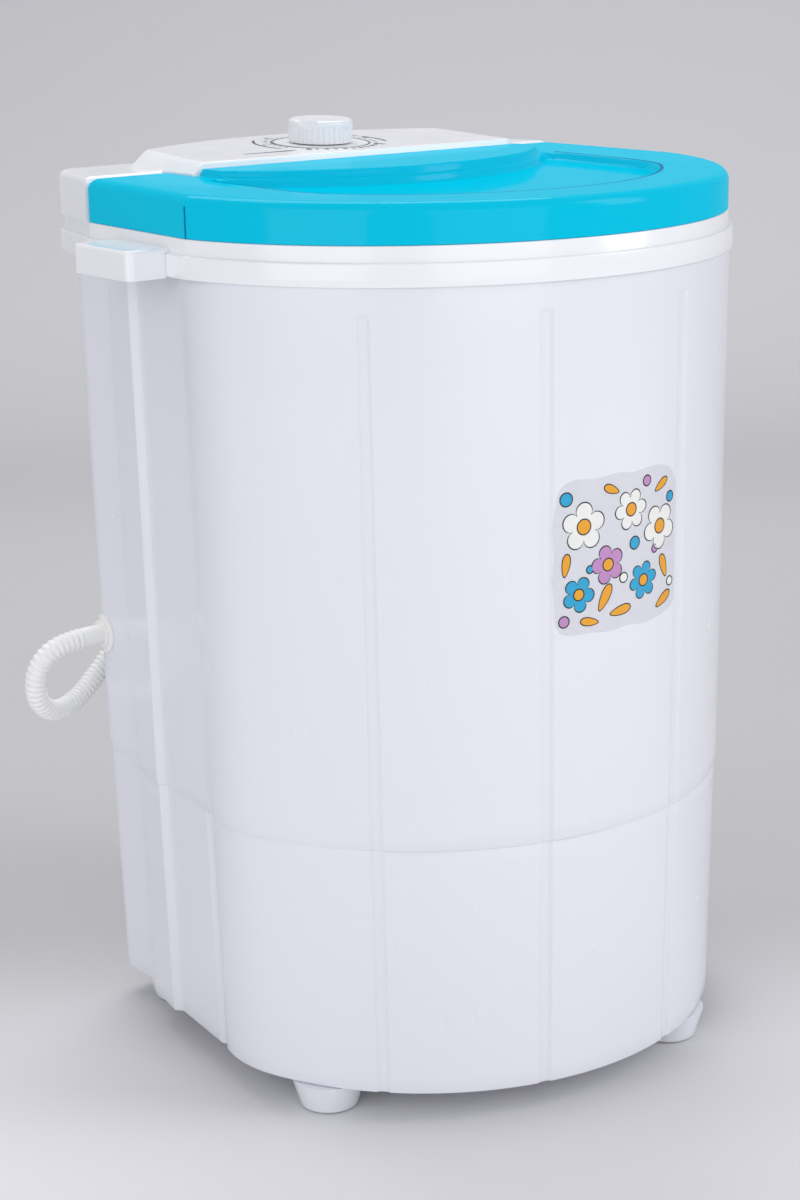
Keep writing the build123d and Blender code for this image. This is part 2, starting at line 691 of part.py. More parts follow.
def make_control_panel():
    outer = panel_block(0)
    panel = outer - panel_block(PANEL_WALL)
    for side in (-1, 1):
        for ear in hinge_ears(side):
            panel += ear & outer
        half = ARM_W / 2 + EAR_GAP
        slot = (side * HINGE_X - half, side * HINGE_X + half)
        low, high = HINGE_Z - ARM_DROP - 3, HINGE_Z + KNUCKLE_R
        panel -= box(slot, (BLOCK_Y - 1, BLOCK_Y + PANEL_WALL + 0.2), (low, high))
        panel -= x_rod(PIN_R + SHAFT_FIT, slot[0] - EAR_T - 1, slot[1] + EAR_T + 1, HINGE_Y, HINGE_Z)
    panel -= hump_plane(0) * Cylinder(BUSHING_R + BUSHING_FIT, 30)
    for side in (-1, 1):
        boss = Cylinder(TIMER_BOSS_R, TIMER_DOWN + 1, align=DOWN)
        panel += hump_plane(PANEL_WALL) * Pos(side * TIMER_SCREW_X, 0, 1) * boss
        panel -= screw_bore(timer_screw_place(side), -1, TIMER_SCREW_L + 0.3)
    for x, y in PANEL_POSTS:
        panel += rod(PANEL_POST_R, CASING_Z + DECK_T, DIAL_Z + 20, x, y) & outer
        panel -= screw_rod(CASING_Z, CASING_Z + PANEL_SCREW_L + 2, x, y)
    return panel


def make_panel_screws():
    return [screw(Pos(x, y, CASING_Z - 0.02), PANEL_SCREW_L) for x, y in PANEL_POSTS]


def timer_screw_place(side):
    """Screw that comes up through the timer's ear into the panel's boss."""
    return hump_plane(PANEL_WALL + TIMER_DOWN + TIMER_EAR_T) * Pos(side * TIMER_SCREW_X, 0, 0)


def make_timer_body():
    """Timer case with its mounting ears and the neck that comes up through the panel."""
    top = PANEL_WALL + TIMER_DOWN
    case = Box(TIMER_W, TIMER_D, TIMER_H, align=DOWN)
    ear_w = 2 * (TIMER_SCREW_X + SCREW_HEAD_R + 2)
    ears = Box(ear_w, 2 * TIMER_BOSS_R + 4, TIMER_EAR_T, align=DOWN)
    neck = Pos(0, 0, -1) * Cylinder(BUSHING_R, top, align=UP)
    body = hump_plane(top) * (case + ears + neck)
    for side in (-1, 1):
        body -= screw_bore(timer_screw_place(side), -1, TIMER_EAR_T + 1)
    return body - hump_plane(top + TIMER_H * 0.6) * Cylinder(SHAFT_R + SHAFT_FIT, 60, align=UP)


def make_timer_screws():
    return [screw(timer_screw_place(side), TIMER_SCREW_L) for side in (-1, 1)]


def make_timer_shaft():
    """Shaft with a flat at its end, from inside the timer up into the knob."""
    low = PANEL_WALL + TIMER_DOWN + TIMER_H * 0.6 - 0.2
    length = low + KNOB_GAP + KNOB_DEPTH
    shaft = Cylinder(SHAFT_R, length, align=UP)
    flat = Pos(SHAFT_R - FLAT_DEPTH, 0, length - FLAT_L) * box((0, 9), (-9, 9), (0, FLAT_L + 1))
    return hump_plane(low) * (shaft - flat)


def make_timer_knob():
    """Finely fluted knob with a rounded top and a finger scoop."""
    knob = Cylinder(KNOB_R, KNOB_H, align=UP)
    knob = fillet(knob.edges().group_by(Axis.Z)[-1], KNOB_TOP_R)
    groove = Pos(KNOB_R + KNOB_FLUTE_R / 2, 0, -1) * Cylinder(KNOB_FLUTE_R, KNOB_H - 2.5, align=UP)
    for i in range(KNOB_FLUTES):
        knob -= Rot(0, 0, 360 / KNOB_FLUTES * i) * groove
    scoop_r = KNOB_R + 2.7
    knob -= Rot(0, 0, -150) * Pos(scoop_r + 14.3, 0, KNOB_H + 9) * Sphere(scoop_r)
    depth = KNOB_DEPTH + 0.1
    bore = rod(SHAFT_R + PUSH_FIT, -1, depth)
    bore -= box((SHAFT_R - FLAT_DEPTH + PUSH_FIT, 9), (-9, 9), (KNOB_DEPTH - FLAT_L + 0.3, depth + 1))
    return hump_plane(-KNOB_GAP) * (knob - bore)


def lid_top_z(y):
    """Height of the lid's sloped top above a place along Y."""
    return LID_TOP_FRONT + (y + COLLAR_R) * math.tan(math.radians(LID_SLOPE))


def lid_outside(inset, low):
    """Outside of the lid moved in by inset, with the dish and the ledge, down to height low."""
    high = LEDGE_Z + 1
    body = slab(rim_outline(-inset, low), high - low)
    body = body & box((-300, 300), (-300, LID_BACK_Y - inset), (low, high))
    top = Pos(0, -COLLAR_R, LID_TOP_FRONT - inset) * Rot(LID_SLOPE, 0, 0)
    body -= top * Pos(0, 200, 50) * Box(600, 800, 100)
    upper = body.edges().filter_by(lambda e: e.center().Z > low + 12)
    body = fillet(upper, LID_EDGE_R - inset)
    body += ledge(inset, low + 14)
    body -= dish(inset)
    notch_x = NOTCH_HALF_W + inset
    return body - box((-notch_x, notch_x), (LEDGE_Y - inset, 300), (0, 900))


def arched(half, end_y, middle_y, back_y):
    """Level face between a straight back and a front edge that is one arc."""
    arc = ThreePointArc((-half, end_y), (0, middle_y), (half, end_y))
    return make_face([arc, Polyline((half, end_y), (half, back_y), (-half, back_y), (-half, end_y))])


def ledge(inset, low):
    """Raised ledge in front of the hump, a shallow arched step."""
    end_y = LEDGE_END_Y + inset
    outline = arched(LEDGE_HALF_W - inset, end_y, LEDGE_Y - LEDGE_FRONT + inset, LEDGE_Y + 2)
    solid = slab(Pos(0, 0, low) * outline, LEDGE_Z - inset - low)
    top = solid.edges().group_by(Axis.Z)[-1]
    return fillet(top.filter_by(lambda e: e.center().Y < LEDGE_Y), 1.2)


def dish(inset):
    """Shallow dish cutter that follows the lid's round front."""
    depth = DISH_DEPTH + inset
    disc = Cylinder(DISH_R + inset, depth + 20, align=UP)
    disc = fillet(disc.edges().group_by(Axis.Z)[0], DISH_FILLET)
    cut = Pos(0, 0, lid_top_z(0) - depth) * Rot(LID_SLOPE, 0, 0) * disc
    half = LEDGE_HALF_W + 1 - inset
    keep = arched(half, LEDGE_END_Y + inset, DISH_FRONT_Y + inset, 200)
    low = LID_TOP_FRONT - 30
    behind = box((-300, 300), (DISH_BACK_Y + inset, 300), (low, low + 100))
    return cut - slab(Pos(0, 0, low) * keep, 80) - behind


def lid_arm(side):
    """Gooseneck arm from the lid's rear wall to its knuckle on the hinge pin."""
    x = (side * HINGE_X - ARM_W / 2, side * HINGE_X + ARM_W / 2)
    low = HINGE_Z - ARM_DROP
    knuckle = x_rod(KNUCKLE_R, x[0], x[1], HINGE_Y, HINGE_Z)
    leg = box(x, (HINGE_Y - ARM_T / 2, HINGE_Y + ARM_T / 2), (low, HINGE_Z))
    foot = box(x, (LID_BACK_Y - 1, HINGE_Y + ARM_T / 2), (low, low + ARM_T))
    return knuckle + leg + foot


def make_lid():
    low = COLLAR_Z + LID_GAP
    lid = lid_outside(0, low) - lid_outside(LID_WALL, low - 5)
    for side in (-1, 1):
        lid += lid_arm(side)
        x = side * HINGE_X
        lid -= x_rod(PIN_R + PIN_FIT, x - ARM_W, x + ARM_W, HINGE_Y, HINGE_Z)
    return lid


def make_hinge_pins():
    half = ARM_W / 2 + EAR_GAP + EAR_T
    return [x_rod(PIN_R, side * HINGE_X - half, side * HINGE_X + half, HINGE_Y, HINGE_Z) for side in (-1, 1)]


def tub_screw_places():
    """Screws up through the ears of the tub's flange into the deck."""
    places = []
    for i in range(TUB_SCREWS):
        x, y = polar(TUB_SCREW_R, 360 / TUB_SCREWS * (i + 0.5) - 90)
        places.append(Pos(x, y, CASING_Z - FLANGE_T))
    return places


def tub_profile():
    """Half section of the tub: outside from the middle of the well up, then the inside back down."""
    under = TUB_FLOOR_Z - TUB_WALL
    return [
        (0, WELL_UNDER_Z),
        (WELL_R + TUB_WALL, WELL_UNDER_Z),
        (WELL_R + TUB_WALL, under),
        (TUB_FLOOR_R - TUB_CORNER + 1, under),
        (TUB_FLOOR_R + TUB_WALL, TUB_FLOOR_Z + TUB_CORNER - 1),
        (TUB_TOP_R + TUB_WALL, CASING_Z - FLANGE_T),
        (FLANGE_R, CASING_Z - FLANGE_T),
        (FLANGE_R, CASING_Z),
        (TUB_TOP_R, CASING_Z),
        (TUB_FLOOR_R, TUB_FLOOR_Z + TUB_CORNER),
        (TUB_FLOOR_R - TUB_CORNER, TUB_FLOOR_Z),
        (WELL_R, TUB_FLOOR_Z),
        (WELL_R, TUB_FLOOR_Z - WELL_DEPTH),
        (0, TUB_FLOOR_Z - WELL_DEPTH),
    ]


def make_wash_tub():
    tub = revolve(Plane.XZ * make_face(Polyline(*tub_profile(), close=True)), axis=Axis.Z)
    hollow = rod(TUB_TOP_R, CASING_Z - 2 * FLANGE_T, CASING_Z + 1)
    for place in tub_screw_places():
        tub += place * Cylinder(TUB_EAR_R, FLANGE_T, align=UP) - hollow
        tub -= screw_bore(place, -0.5, FLANGE_T + 1)
    low, high = WELL_UNDER_Z - 5, TUB_FLOOR_Z + 5
    tub -= rod(PULSATOR_SHAFT_R + 2, low, high)
    tub -= rod(ELBOW_BORE_R, low, high, ELBOW_X, ELBOW_Y)
    for x, y in bearing_screw_places():
        tub -= screw_rod(low, high, x, y)
    return tub


def make_tub_screws():
    return [screw(place, TUB_SCREW_L) for place in tub_screw_places()]


def bearing_screw_places():
    return [polar(HOUSING_SCREW_R, a) for a in (45, 135, 225, 315)]


def make_bearing_housing():
    """Flanged hub under the tub that carries both bushes and the seal."""
    flange_low = WELL_UNDER_Z - HOUSING_FLANGE_T
    hub = rod(HOUSING_R, HOUSING_Z, WELL_UNDER_Z) + rod(HOUSING_FLANGE_R, flange_low, WELL_UNDER_Z)
    hub -= rod(BUSH_R + PUSH_FIT, HOUSING_Z - 1, WELL_UNDER_Z + 1)
    for x, y in bearing_screw_places():
        hub -= screw_rod(flange_low - 1, WELL_UNDER_Z + 1, x, y)
    return hub


def make_bearing_screws():
    low = WELL_UNDER_Z - HOUSING_FLANGE_T
    return [screw(Pos(x, y, low), HOUSING_SCREW_L) for x, y in bearing_screw_places()]


def make_bearing_bushes():
    bore = PULSATOR_SHAFT_R + SHAFT_FIT
    top = WELL_UNDER_Z - SEAL_H
    return [tube(BUSH_R, bore, HOUSING_Z, HOUSING_Z + BUSH_L), tube(BUSH_R, bore, top - BUSH_L, top)]


def make_shaft_seal():
    return tube(BUSH_R, PULSATOR_SHAFT_R + 2 * SHAFT_FIT, WELL_UNDER_Z - SEAL_H, WELL_UNDER_Z)


def pulsator_low():
    """Height of the pulsator's lower edge."""
    return TUB_FLOOR_Z - WELL_DEPTH + PULSATOR_GAP


def make_pulsator_shaft():
    top = pulsator_low() + SEAT_H
    shaft = rod(PULSATOR_SHAFT_R, BELT_Z - PULLEY_W / 2 - SHAFT_END, top)
    shaft = chamfer(shaft.edges().group_by(Axis.Z)[0], 0.8)
    return shaft - screw_rod(top - 12, top + 1, 0, 0)


def make_pulsator():
    """Low dome with straight fins that drives the water."""
    low = pulsator_low()
    dome_r = (PULSATOR_R ** 2 + PULSATOR_RISE ** 2) / (2 * PULSATOR_RISE)
    centre_z = low + PULSATOR_EDGE + PULSATOR_RISE - dome_r
    inner = Pos(0, 0, centre_z - PULSATOR_WALL) * Sphere(dome_r)
    solid = (Pos(0, 0, centre_z) * Sphere(dome_r)) & rod(PULSATOR_R, low, low + 60)
    solid -= inner & rod(PULSATOR_R - 4, low - 1, low + 60)
    fin = box((HUB_R + 1, PULSATOR_R - 7), (-FIN_W / 2, FIN_W / 2), (low + 2, low + 30))
    fin = (fin & (Pos(0, 0, centre_z + FIN_H) * Sphere(dome_r))) - inner
    for i in range(FINS):
        solid += Rot(0, 0, 360 / FINS * i) * fin
    solid += rod(HUB_R, low, low + HUB_H)
    solid -= rod(PULSATOR_SHAFT_R + PUSH_FIT, low - 1, low + SEAT_H)
    solid -= screw_rod(low, low + 60, 0, 0)
    return solid - rod(SCREW_HEAD_R + HEAD_FIT, low + SCREW_SEAT_H, low + 60)


def make_pulsator_screw():
    return screw(Pos(0, 0, pulsator_low() + SCREW_SEAT_H) * Rot(180, 0, 0), 14.0)


def pulley(radius, bore, x, y):
    """Grooved belt pulley about its own upright axis."""
    rim = PULLEY_W / 2
    wide = BELT_W / 2 + BELT_FIT
    narrow = wide - BELT_BEVEL
    floor = radius - GROOVE_DEPTH
    mouth_w = wide + GROOVE_FLARE
    half = [(rim, bore), (rim, radius), (mouth_w, radius), (wide, floor + BELT_BEVEL), (narrow, floor)]
    profile = [(r, z) for z, r in half] + [(r, -z) for z, r in reversed(half)]
    wheel = revolve(Plane.XZ * make_face(Polyline(*profile, close=True)), axis=Axis.Z)
    return Pos(x, y, BELT_Z) * wheel


def make_driven_pulley():
    wheel = pulley(BIG_PULLEY_R, PULSATOR_SHAFT_R + PUSH_FIT, 0, 0)
    for i in range(PULLEY_HOLES):
        x, y = polar(PULLEY_HOLE_AT, 360 / PULLEY_HOLES * i)
        wheel -= rod(PULLEY_HOLE_R, BELT_Z - PULLEY_W, BELT_Z + PULLEY_W, x, y)
    return wheel


def make_motor_pulley():
    return pulley(SMALL_PULLEY_R, MOTOR_SHAFT_R + PUSH_FIT, MOTOR_X, MOTOR_Y)


def belt_loop(offset):
    """Outline of the open belt round both pulleys at a given distance from the groove floors."""
    r1 = BIG_PULLEY_R - GROOVE_DEPTH + offset
    r2 = SMALL_PULLEY_R - GROOVE_DEPTH + offset
    span = math.hypot(MOTOR_X, MOTOR_Y)
    lean = math.asin((r1 - r2) / span)
    a = (r1 * math.sin(lean), r1 * math.cos(lean))
    b = (span + r2 * math.sin(lean), r2 * math.cos(lean))
    edges = [
        Line(a, b),
        ThreePointArc(b, (span + r2, 0), (b[0], -b[1])),
        Line((b[0], -b[1]), (a[0], -a[1])),
        ThreePointArc((a[0], -a[1]), (-r1, 0), a),
    ]
    return Rot(0, 0, math.degrees(math.atan2(MOTOR_Y, MOTOR_X))) * make_face(edges)


def make_v_belt():
    """Belt round both pulleys, its inner edges bevelled to sit in the grooves."""
    low = BELT_Z - BELT_W / 2
    outer = slab(Pos(0, 0, low) * belt_loop(BELT_FIT + BELT_T), BELT_W)
    belt = outer - slab(Pos(0, 0, low - 1) * belt_loop(BELT_FIT), BELT_W + 2)
    inner_length = sum(e.length for e in belt_loop(BELT_FIT).edges())
    for end in (0, -1):
        wires = belt.faces().group_by(Axis.Z)[end][0].wires()
        inner = min(wires, key=lambda w: abs(w.length - inner_length))
        belt = chamfer(inner.edges(), BELT_BEVEL)
    return belt


def motor_rod(radius, low, high):
    """Upright cylinder on the motor's axis."""
    return rod(radius, low, high, MOTOR_X, MOTOR_Y)


def motor_feet():
    """Three feet of the motor plate, round the motor."""
    return [(MOTOR_X + x, MOTOR_Y + y) for x, y in (polar(MOUNT_AT, a) for a in MOUNT_ANGLES)]


def bell(low, high, open_end):
    """Cup-shaped end bell of the motor; open_end is its end at the stator, 1 upper and -1 lower."""
    cup = motor_rod(MOTOR_R, low, high)
    if open_end > 0:
        cup -= motor_rod(MOTOR_R - BELL_WALL, low + BELL_WALL, high + 1)
        cup += motor_rod(BELL_HUB_R, low, low + BELL_HUB_H)
    else:
        cup -= motor_rod(MOTOR_R - BELL_WALL, low - 1, high - BELL_WALL)
        cup += motor_rod(BELL_HUB_R, high - BELL_HUB_H, high)
    return cup - motor_rod(MOTOR_SHAFT_R + SHAFT_FIT, low - 1, high + 1)


def make_lower_bell():
    return bell(MOTOR_Z, STATOR_Z, 1)


def make_upper_bell():
    return bell(UPPER_BELL_Z, UPPER_BELL_Z + BELL_H - BELL_WALL, -1)


def make_stator():
    """Core with a ring of winding slots."""
    ring = motor_rod(MOTOR_R, STATOR_Z, UPPER_BELL_Z)
    ring -= motor_rod(STATOR_BORE_R, STATOR_Z - 1, UPPER_BELL_Z + 1)
    for i in range(STATOR_SLOTS):
        x, y = polar(SLOT_AT, 360 / STATOR_SLOTS * i)
        ring -= rod(SLOT_R, STATOR_Z - 1, UPPER_BELL_Z + 1, MOTOR_X + x, MOTOR_Y + y)
    return ring


def make_windings():
    """Copper coil ends that stand above and below the stator's core."""
    inner, outer = COIL_R
    high = tube(outer, inner, UPPER_BELL_Z, UPPER_BELL_Z + COIL_H, MOTOR_X, MOTOR_Y)
    low = tube(outer, inner, STATOR_Z - COIL_H, STATOR_Z, MOTOR_X, MOTOR_Y)
    return [fillet(high.edges().group_by(Axis.Z)[-1], 2.0), fillet(low.edges().group_by(Axis.Z)[0], 2.0)]


def make_rotor():
    core = motor_rod(STATOR_BORE_R - ROTOR_GAP, STATOR_Z, UPPER_BELL_Z)
    return core - motor_rod(MOTOR_SHAFT_R + PUSH_FIT, STATOR_Z - 1, UPPER_BELL_Z + 1)


def make_motor_shaft():
    shaft = motor_rod(MOTOR_SHAFT_R, MOTOR_Z + 0.5, BELT_Z + PULLEY_W / 2 + SHAFT_END)
    return chamfer(shaft.edges().group_by(Axis.Z)[-1], 0.8)


def make_motor_plate():
    """Steel plate under the motor, with three ears that sit on rubber mounts."""
    low = MOTOR_Z - PLATE_T
    plate = motor_rod(MOTOR_R + 2, low, MOTOR_Z)
    for angle, (x, y) in zip(MOUNT_ANGLES, motor_feet()):
        middle = Pos((x + MOTOR_X) / 2, (y + MOTOR_Y) / 2, low)
        plate += middle * Rot(0, 0, angle) * Box(MOUNT_AT, PLATE_ARM_W, PLATE_T, align=UP)
        plate += rod(PLATE_ARM_W / 2, low, MOTOR_Z, x, y)
    plate -= motor_rod(MOTOR_SHAFT_R + 3, low - 1, MOTOR_Z + 1)
    for x, y in motor_feet():
        plate -= screw_rod(low - 1, MOTOR_Z + 1, x, y)
    return plate


def make_rubber_mounts():
    low, high = FLOOR_Z + MOUNT_BOSS_H, MOTOR_Z - PLATE_T
    return [tube(MOUNT_R, MOUNT_BORE_R, low, high, x, y) for x, y in motor_feet()]


def make_motor_screws():
    return [screw(Pos(x, y, MOTOR_Z) * Rot(180, 0, 0), MOTOR_SCREW_L) for x, y in motor_feet()]


def make_capacitor():
    """Can that stands on the floor, with two blade terminals on top."""
    x, y = CAPACITOR
    top = FLOOR_Z + CAPACITOR_H
    can = rod(CAPACITOR_R, FLOOR_Z, top, x, y)
    can = fillet(can.edges().group_by(Axis.Z)[-1], 3.0)
    for step in (-TERMINAL_X, TERMINAL_X):
        can += box((x + step - 0.4, x + step + 0.4), (y - 3, y + 3), (top - 0.5, top + TERMINAL_H))
    return can


def make_capacitor_clamp():
    """Band round the capacitor with a foot that is screwed to the floor."""
    x, y = CAPACITOR
    inner = CAPACITOR_R + CLAMP_FIT
    half = CLAMP_W / 2
    band = rod(inner + CLAMP_T, FLOOR_Z + CLAMP_UP, FLOOR_Z + CLAMP_UP + CLAMP_H, x, y)
    leg = box((x - half, x + half), (y - inner - CLAMP_T, y - inner), (FLOOR_Z, FLOOR_Z + CLAMP_UP + 2))
    foot_y = (y - CLAMP_REACH - half, y - inner)
    foot = box((x - half, x + half), foot_y, (FLOOR_Z, FLOOR_Z + CLAMP_T))
    clamp = band + leg + foot - rod(inner, FLOOR_Z - 1, FLOOR_Z + CAPACITOR_H, x, y)
    return clamp - screw_rod(FLOOR_Z - 1, FLOOR_Z + 9, x, y - CLAMP_REACH)


def make_clamp_screw():
    x, y = CAPACITOR
    return screw(Pos(x, y - CLAMP_REACH, FLOOR_Z + CLAMP_T) * Rot(180, 0, 0), 4.0)


def cover_screw_places():
    return [polar(COVER_SCREW_AT, a) for a in (0, 90, 180, 270)]


def make_bottom_cover():
    """Slotted round plate under the service opening."""
    high = FLOOR_Z - FLOOR_T
    low = high - COVER_T
    plate = rod(SERVICE_R + COVER_RIM, low, high)
    half = COVER_SLOT_L / 2
    for i in range(COVER_SLOTS):
        y = (i - (COVER_SLOTS - 1) / 2) * 4 * COVER_SLOT_W
        plate -= box((-half, half), (y - COVER_SLOT_W / 2, y + COVER_SLOT_W / 2), (low - 1, high + 1))
    for x, y in cover_screw_places():
        plate -= screw_rod(low - 1, high + 1, x, y)
    return plate


def make_bottom_cover_screws():
    low = FLOOR_Z - FLOOR_T - COVER_T
    return [screw(Pos(x, y, low), 5.0) for x, y in cover_screw_places()]


def make_foot(x, y):
    """Tapered foot with a rounded lower edge and a spigot up into the floor."""
    foot = Pos(x, y, 0) * Cone(FOOT_BOTTOM_R, FOOT_TOP_R, FOOT_H, align=UP)
    foot = fillet(foot.edges().group_by(Axis.Z)[0], FOOT_EDGE_R)
    foot += rod(FOOT_SPIGOT_R, FOOT_H - 1, FLOOR_Z - 1.02, x, y)
    foot -= rod(SCREW_HEAD_R + HEAD_FIT, -1, FOOT_RECESS, x, y)
    return foot - screw_rod(0, FLOOR_Z, x, y)


def make_foot_screws():
    return [screw(Pos(x, y, FOOT_RECESS), FOOT_SCREW_L) for x, y in FEET]


def make_base_screws():
    """Screws down through the casing's tabs into the base's posts."""
    z = SEAM_Z + LIP_H + TAB_GAP + TAB_T
    return [screw(Pos(x, y, z) * Rot(180, 0, 0), BASE_SCREW_L) for x, y in tab_places()]


def make_cord_gland():
    """Strain relief gland for the mains cord, which leaves at the rear."""
    y = REAR_Y + grow_at(GLAND_Z)
    flange = y_rod(GLAND_R + 3.5, y + GLAND_STAND, y + 3, GLAND_X, GLAND_Z)
    neck = y_rod(GLAND_R, y - 9, y + 1, GLAND_X, GLAND_Z)
    nut = y_rod(GLAND_R + 3, y - WALL - 5, y - WALL - GLAND_STAND, GLAND_X, GLAND_Z)
    cone = Cone(GLAND_R + 1, GLAND_BORE_R + 1.4, 10, align=UP)
    snout = Pos(GLAND_X, y + 3, GLAND_Z) * Rot(-90, 0, 0) * cone
    return flange + neck + nut + snout - y_rod(GLAND_BORE_R, y - 20, y + 30, GLAND_X, GLAND_Z)


def make_drain_strainer():
    """Slotted plug with a low cap over the drain hole in the tub's floor."""
    z = TUB_FLOOR_Z
    cap = rod(STRAINER_R, z, z + STRAINER_H, ELBOW_X, ELBOW_Y)
    cap = fillet(cap.edges().group_by(Axis.Z)[-1], STRAINER_H * 0.6)
    cap += rod(ELBOW_BORE_R - 0.15, z - 6, z + 1, ELBOW_X, ELBOW_Y)
    for step in (-4, 0, 4):
        x = ELBOW_X + step
        cap -= box((x - 0.9, x + 0.9), (ELBOW_Y - 5, ELBOW_Y + 5), (z - 10, z + 10))
    return cap


def make_drain_elbow():
    """Elbow bonded under the tub's floor, with a spigot for the inner tube."""
    top = TUB_FLOOR_Z - TUB_WALL
    elbow = rod(ELBOW_R, ELBOW_AXIS_Z - 8, top, ELBOW_X, ELBOW_Y)
    elbow += rod(ELBOW_FLANGE_R, top - 3, top, ELBOW_X, ELBOW_Y)
    elbow += y_rod(HOSE_R, ELBOW_Y, ELBOW_END_Y, ELBOW_X, ELBOW_AXIS_Z)
    elbow += y_rod(SPIGOT_R, ELBOW_Y, ELBOW_END_Y + SPIGOT_L, ELBOW_X, ELBOW_AXIS_Z)
    elbow -= rod(ELBOW_BORE_R, ELBOW_AXIS_Z - 4, top + 1, ELBOW_X, ELBOW_Y)
    return elbow - y_rod(SPIGOT_BORE_R, ELBOW_Y, ELBOW_END_Y + SPIGOT_L + 1, ELBOW_X, ELBOW_AXIS_Z)


def outlet_wall_x():
    """Outside of the left wall at the height of the outlet."""
    return -(REAR_SIDE[0] + grow_at(OUTLET_Z))


def make_hose_outlet():
    """Outlet in the side wall, with a lip on the wall and a spigot each way for the hoses."""
    x = outlet_wall_x()
    low, high = OUTLET_Z - 2 * OUTLET_LIP - OUTLET_R, OUTLET_Z + 2 * OUTLET_LIP + OUTLET_R
    lip = x_rod(OUTLET_R + OUTLET_LIP, x - 10, x + 20, OUTLET_Y, OUTLET_Z)
    lip = lip & (drafted(low, high, -1.4) - drafted(low - 1, high + 1, -0.05))
    neck = x_rod(OUTLET_R - OUTLET_FIT, x - HOSE_STAND, x + OUTLET_IN, OUTLET_Y, OUTLET_Z)
    spigot = x_rod(SPIGOT_R, x - HOSE_STAND - SPIGOT_L, x + OUTLET_IN + SPIGOT_L, OUTLET_Y, OUTLET_Z)
    return lip + neck + spigot - x_rod(SPIGOT_BORE_R, x - 60, x + 60, OUTLET_Y, OUTLET_Z)


def smooth_path(points, name):
    """Runs joined by arcs as large as their runs allow."""
    radii = []
    for a, b, c in zip(points, points[1:], points[2:]):
        u, v = Vector(*b) - Vector(*a), Vector(*c) - Vector(*b)
        turn = math.radians(u.get_angle(v))
        radii.append(0.45 * min(u.length, v.length) / math.tan(turn / 2))
    print(name, "radii", [round(r, 1) for r in radii])
    return FilletPolyline(*points, radius=radii)


def check_volume(solid, outer, inner, path, name):
    """Print a swept tube's volume against its section times its length."""
    section = math.pi * (outer ** 2 - inner ** 2)
    ratio = solid.volume / (section * path.length)
    print(name, "length", round(path.length, 1), "volume ratio", round(ratio, 4))


def make_inner_drain_tube():
    """Plain rubber tube from the elbow up the rear corner to the outlet."""
    points = [
        (ELBOW_X, ELBOW_END_Y, ELBOW_AXIS_Z),
        (ELBOW_X, 118.0, ELBOW_AXIS_Z),
        (-75.0, 127.0, 172.0),
        (-88.0, 128.0, 214.0),
        (-108.0, OUTLET_Y, OUTLET_Z),
        (outlet_wall_x() + OUTLET_IN, OUTLET_Y, OUTLET_Z),
    ]
    path = smooth_path(points, "inner tube")
    ring = Plane(origin=path @ 0, z_dir=path % 0) * (Circle(HOSE_R) - Circle(HOSE_BORE_R))
    swept = sweep(ring, path=path)
    check_volume(swept, HOSE_R, HOSE_BORE_R, path, "inner tube")
    return swept


def hose_route():
    """Chosen points of the outer hose: out of the side, round a loop, then up behind the rear wall."""
    return [
        (outlet_wall_x() - HOSE_STAND, OUTLET_Y, OUTLET_Z),
        (-178.5, OUTLET_Y, OUTLET_Z),
        (-193.6, 132.0, 225.5),
        (-193.8, 137.5, 204.0),
        (-179.5, 145.0, 189.0),
        (-159.0, 154.5, 188.5),
        (-139.5, 160.5, 200.0),
        (-122.0, 159.0, 220.0),
        (-108.0, 156.5, 246.0),
        (-98.0, 156.0, 280.0),
        (-94.0, 157.0, 318.0),
        (-96.0, 156.5, 356.0),
        (-92.0, 157.0, 392.0),
        (-83.0, 157.5, 424.0),
    ]


def hose_plane(path, t):
    """Section plane of the hose, its X axis kept as near to +Y as the path allows."""
    step = 0.05 / path.length
    before, after = path @ max(t - step, 0.0), path @ min(t + step, 1.0)
    along = (after - before).normalized()
    steady = Vector(0, 1, 0)
    across = steady - along * steady.dot(along)
    return Plane(origin=path @ t, x_dir=across, z_dir=along)


def make_drain_hose(path):
    """Ribbed hose with its bore: four circles to each rib, joined by straight faces."""
    length = path.length
    plain = 2 * HOSE_R
    count = int((length - 2 * plain) / HOSE_PITCH)
    groove = HOSE_R - HOSE_RIB
    sections = [(0.0, HOSE_R), (plain - 1, HOSE_R)]
    for i in range(count):
        start = plain + i * HOSE_PITCH
        for step, r in ((0.0, groove), (0.25, HOSE_R), (0.6, HOSE_R), (0.85, groove)):
            sections.append((start + step * HOSE_PITCH, r))
    sections += [(plain + count * HOSE_PITCH + 1, HOSE_R), (length, HOSE_R)]
    rings = [hose_plane(path, min(s / length, 1.0)) * Circle(r) for s, r in sections]
    spans = []
    for first in range(0, len(rings) - 1, SPAN_RINGS):
        spans.append(loft(rings[first:first + SPAN_RINGS + 1], ruled=True).solid())
    bore = sweep(hose_plane(path, 0) * Circle(HOSE_BORE_R), path=path)
    hose = spans[0].fuse(*spans[1:]) - bore
    check_volume(hose, HOSE_R - HOSE_RIB * 0.4, HOSE_BORE_R, path, "hose")
    print("hose ribs", count)
    return hose


def point_at_height(path, z):
    """Parameter of the point where the rising end of the path passes height z."""
    low, high = 0.5, 1.0
    for _ in range(30):
        mid = (low + high) / 2
        if (path @ mid).Z < z:
            low = mid
        else:
            high = mid
    return low


def clip_wall_y(z):
    """Where the back of a clip's flat base lies, just clear of the drafted wall."""
    return REAR_Y + grow_at(z + CLIP_W) + CLIP_STAND


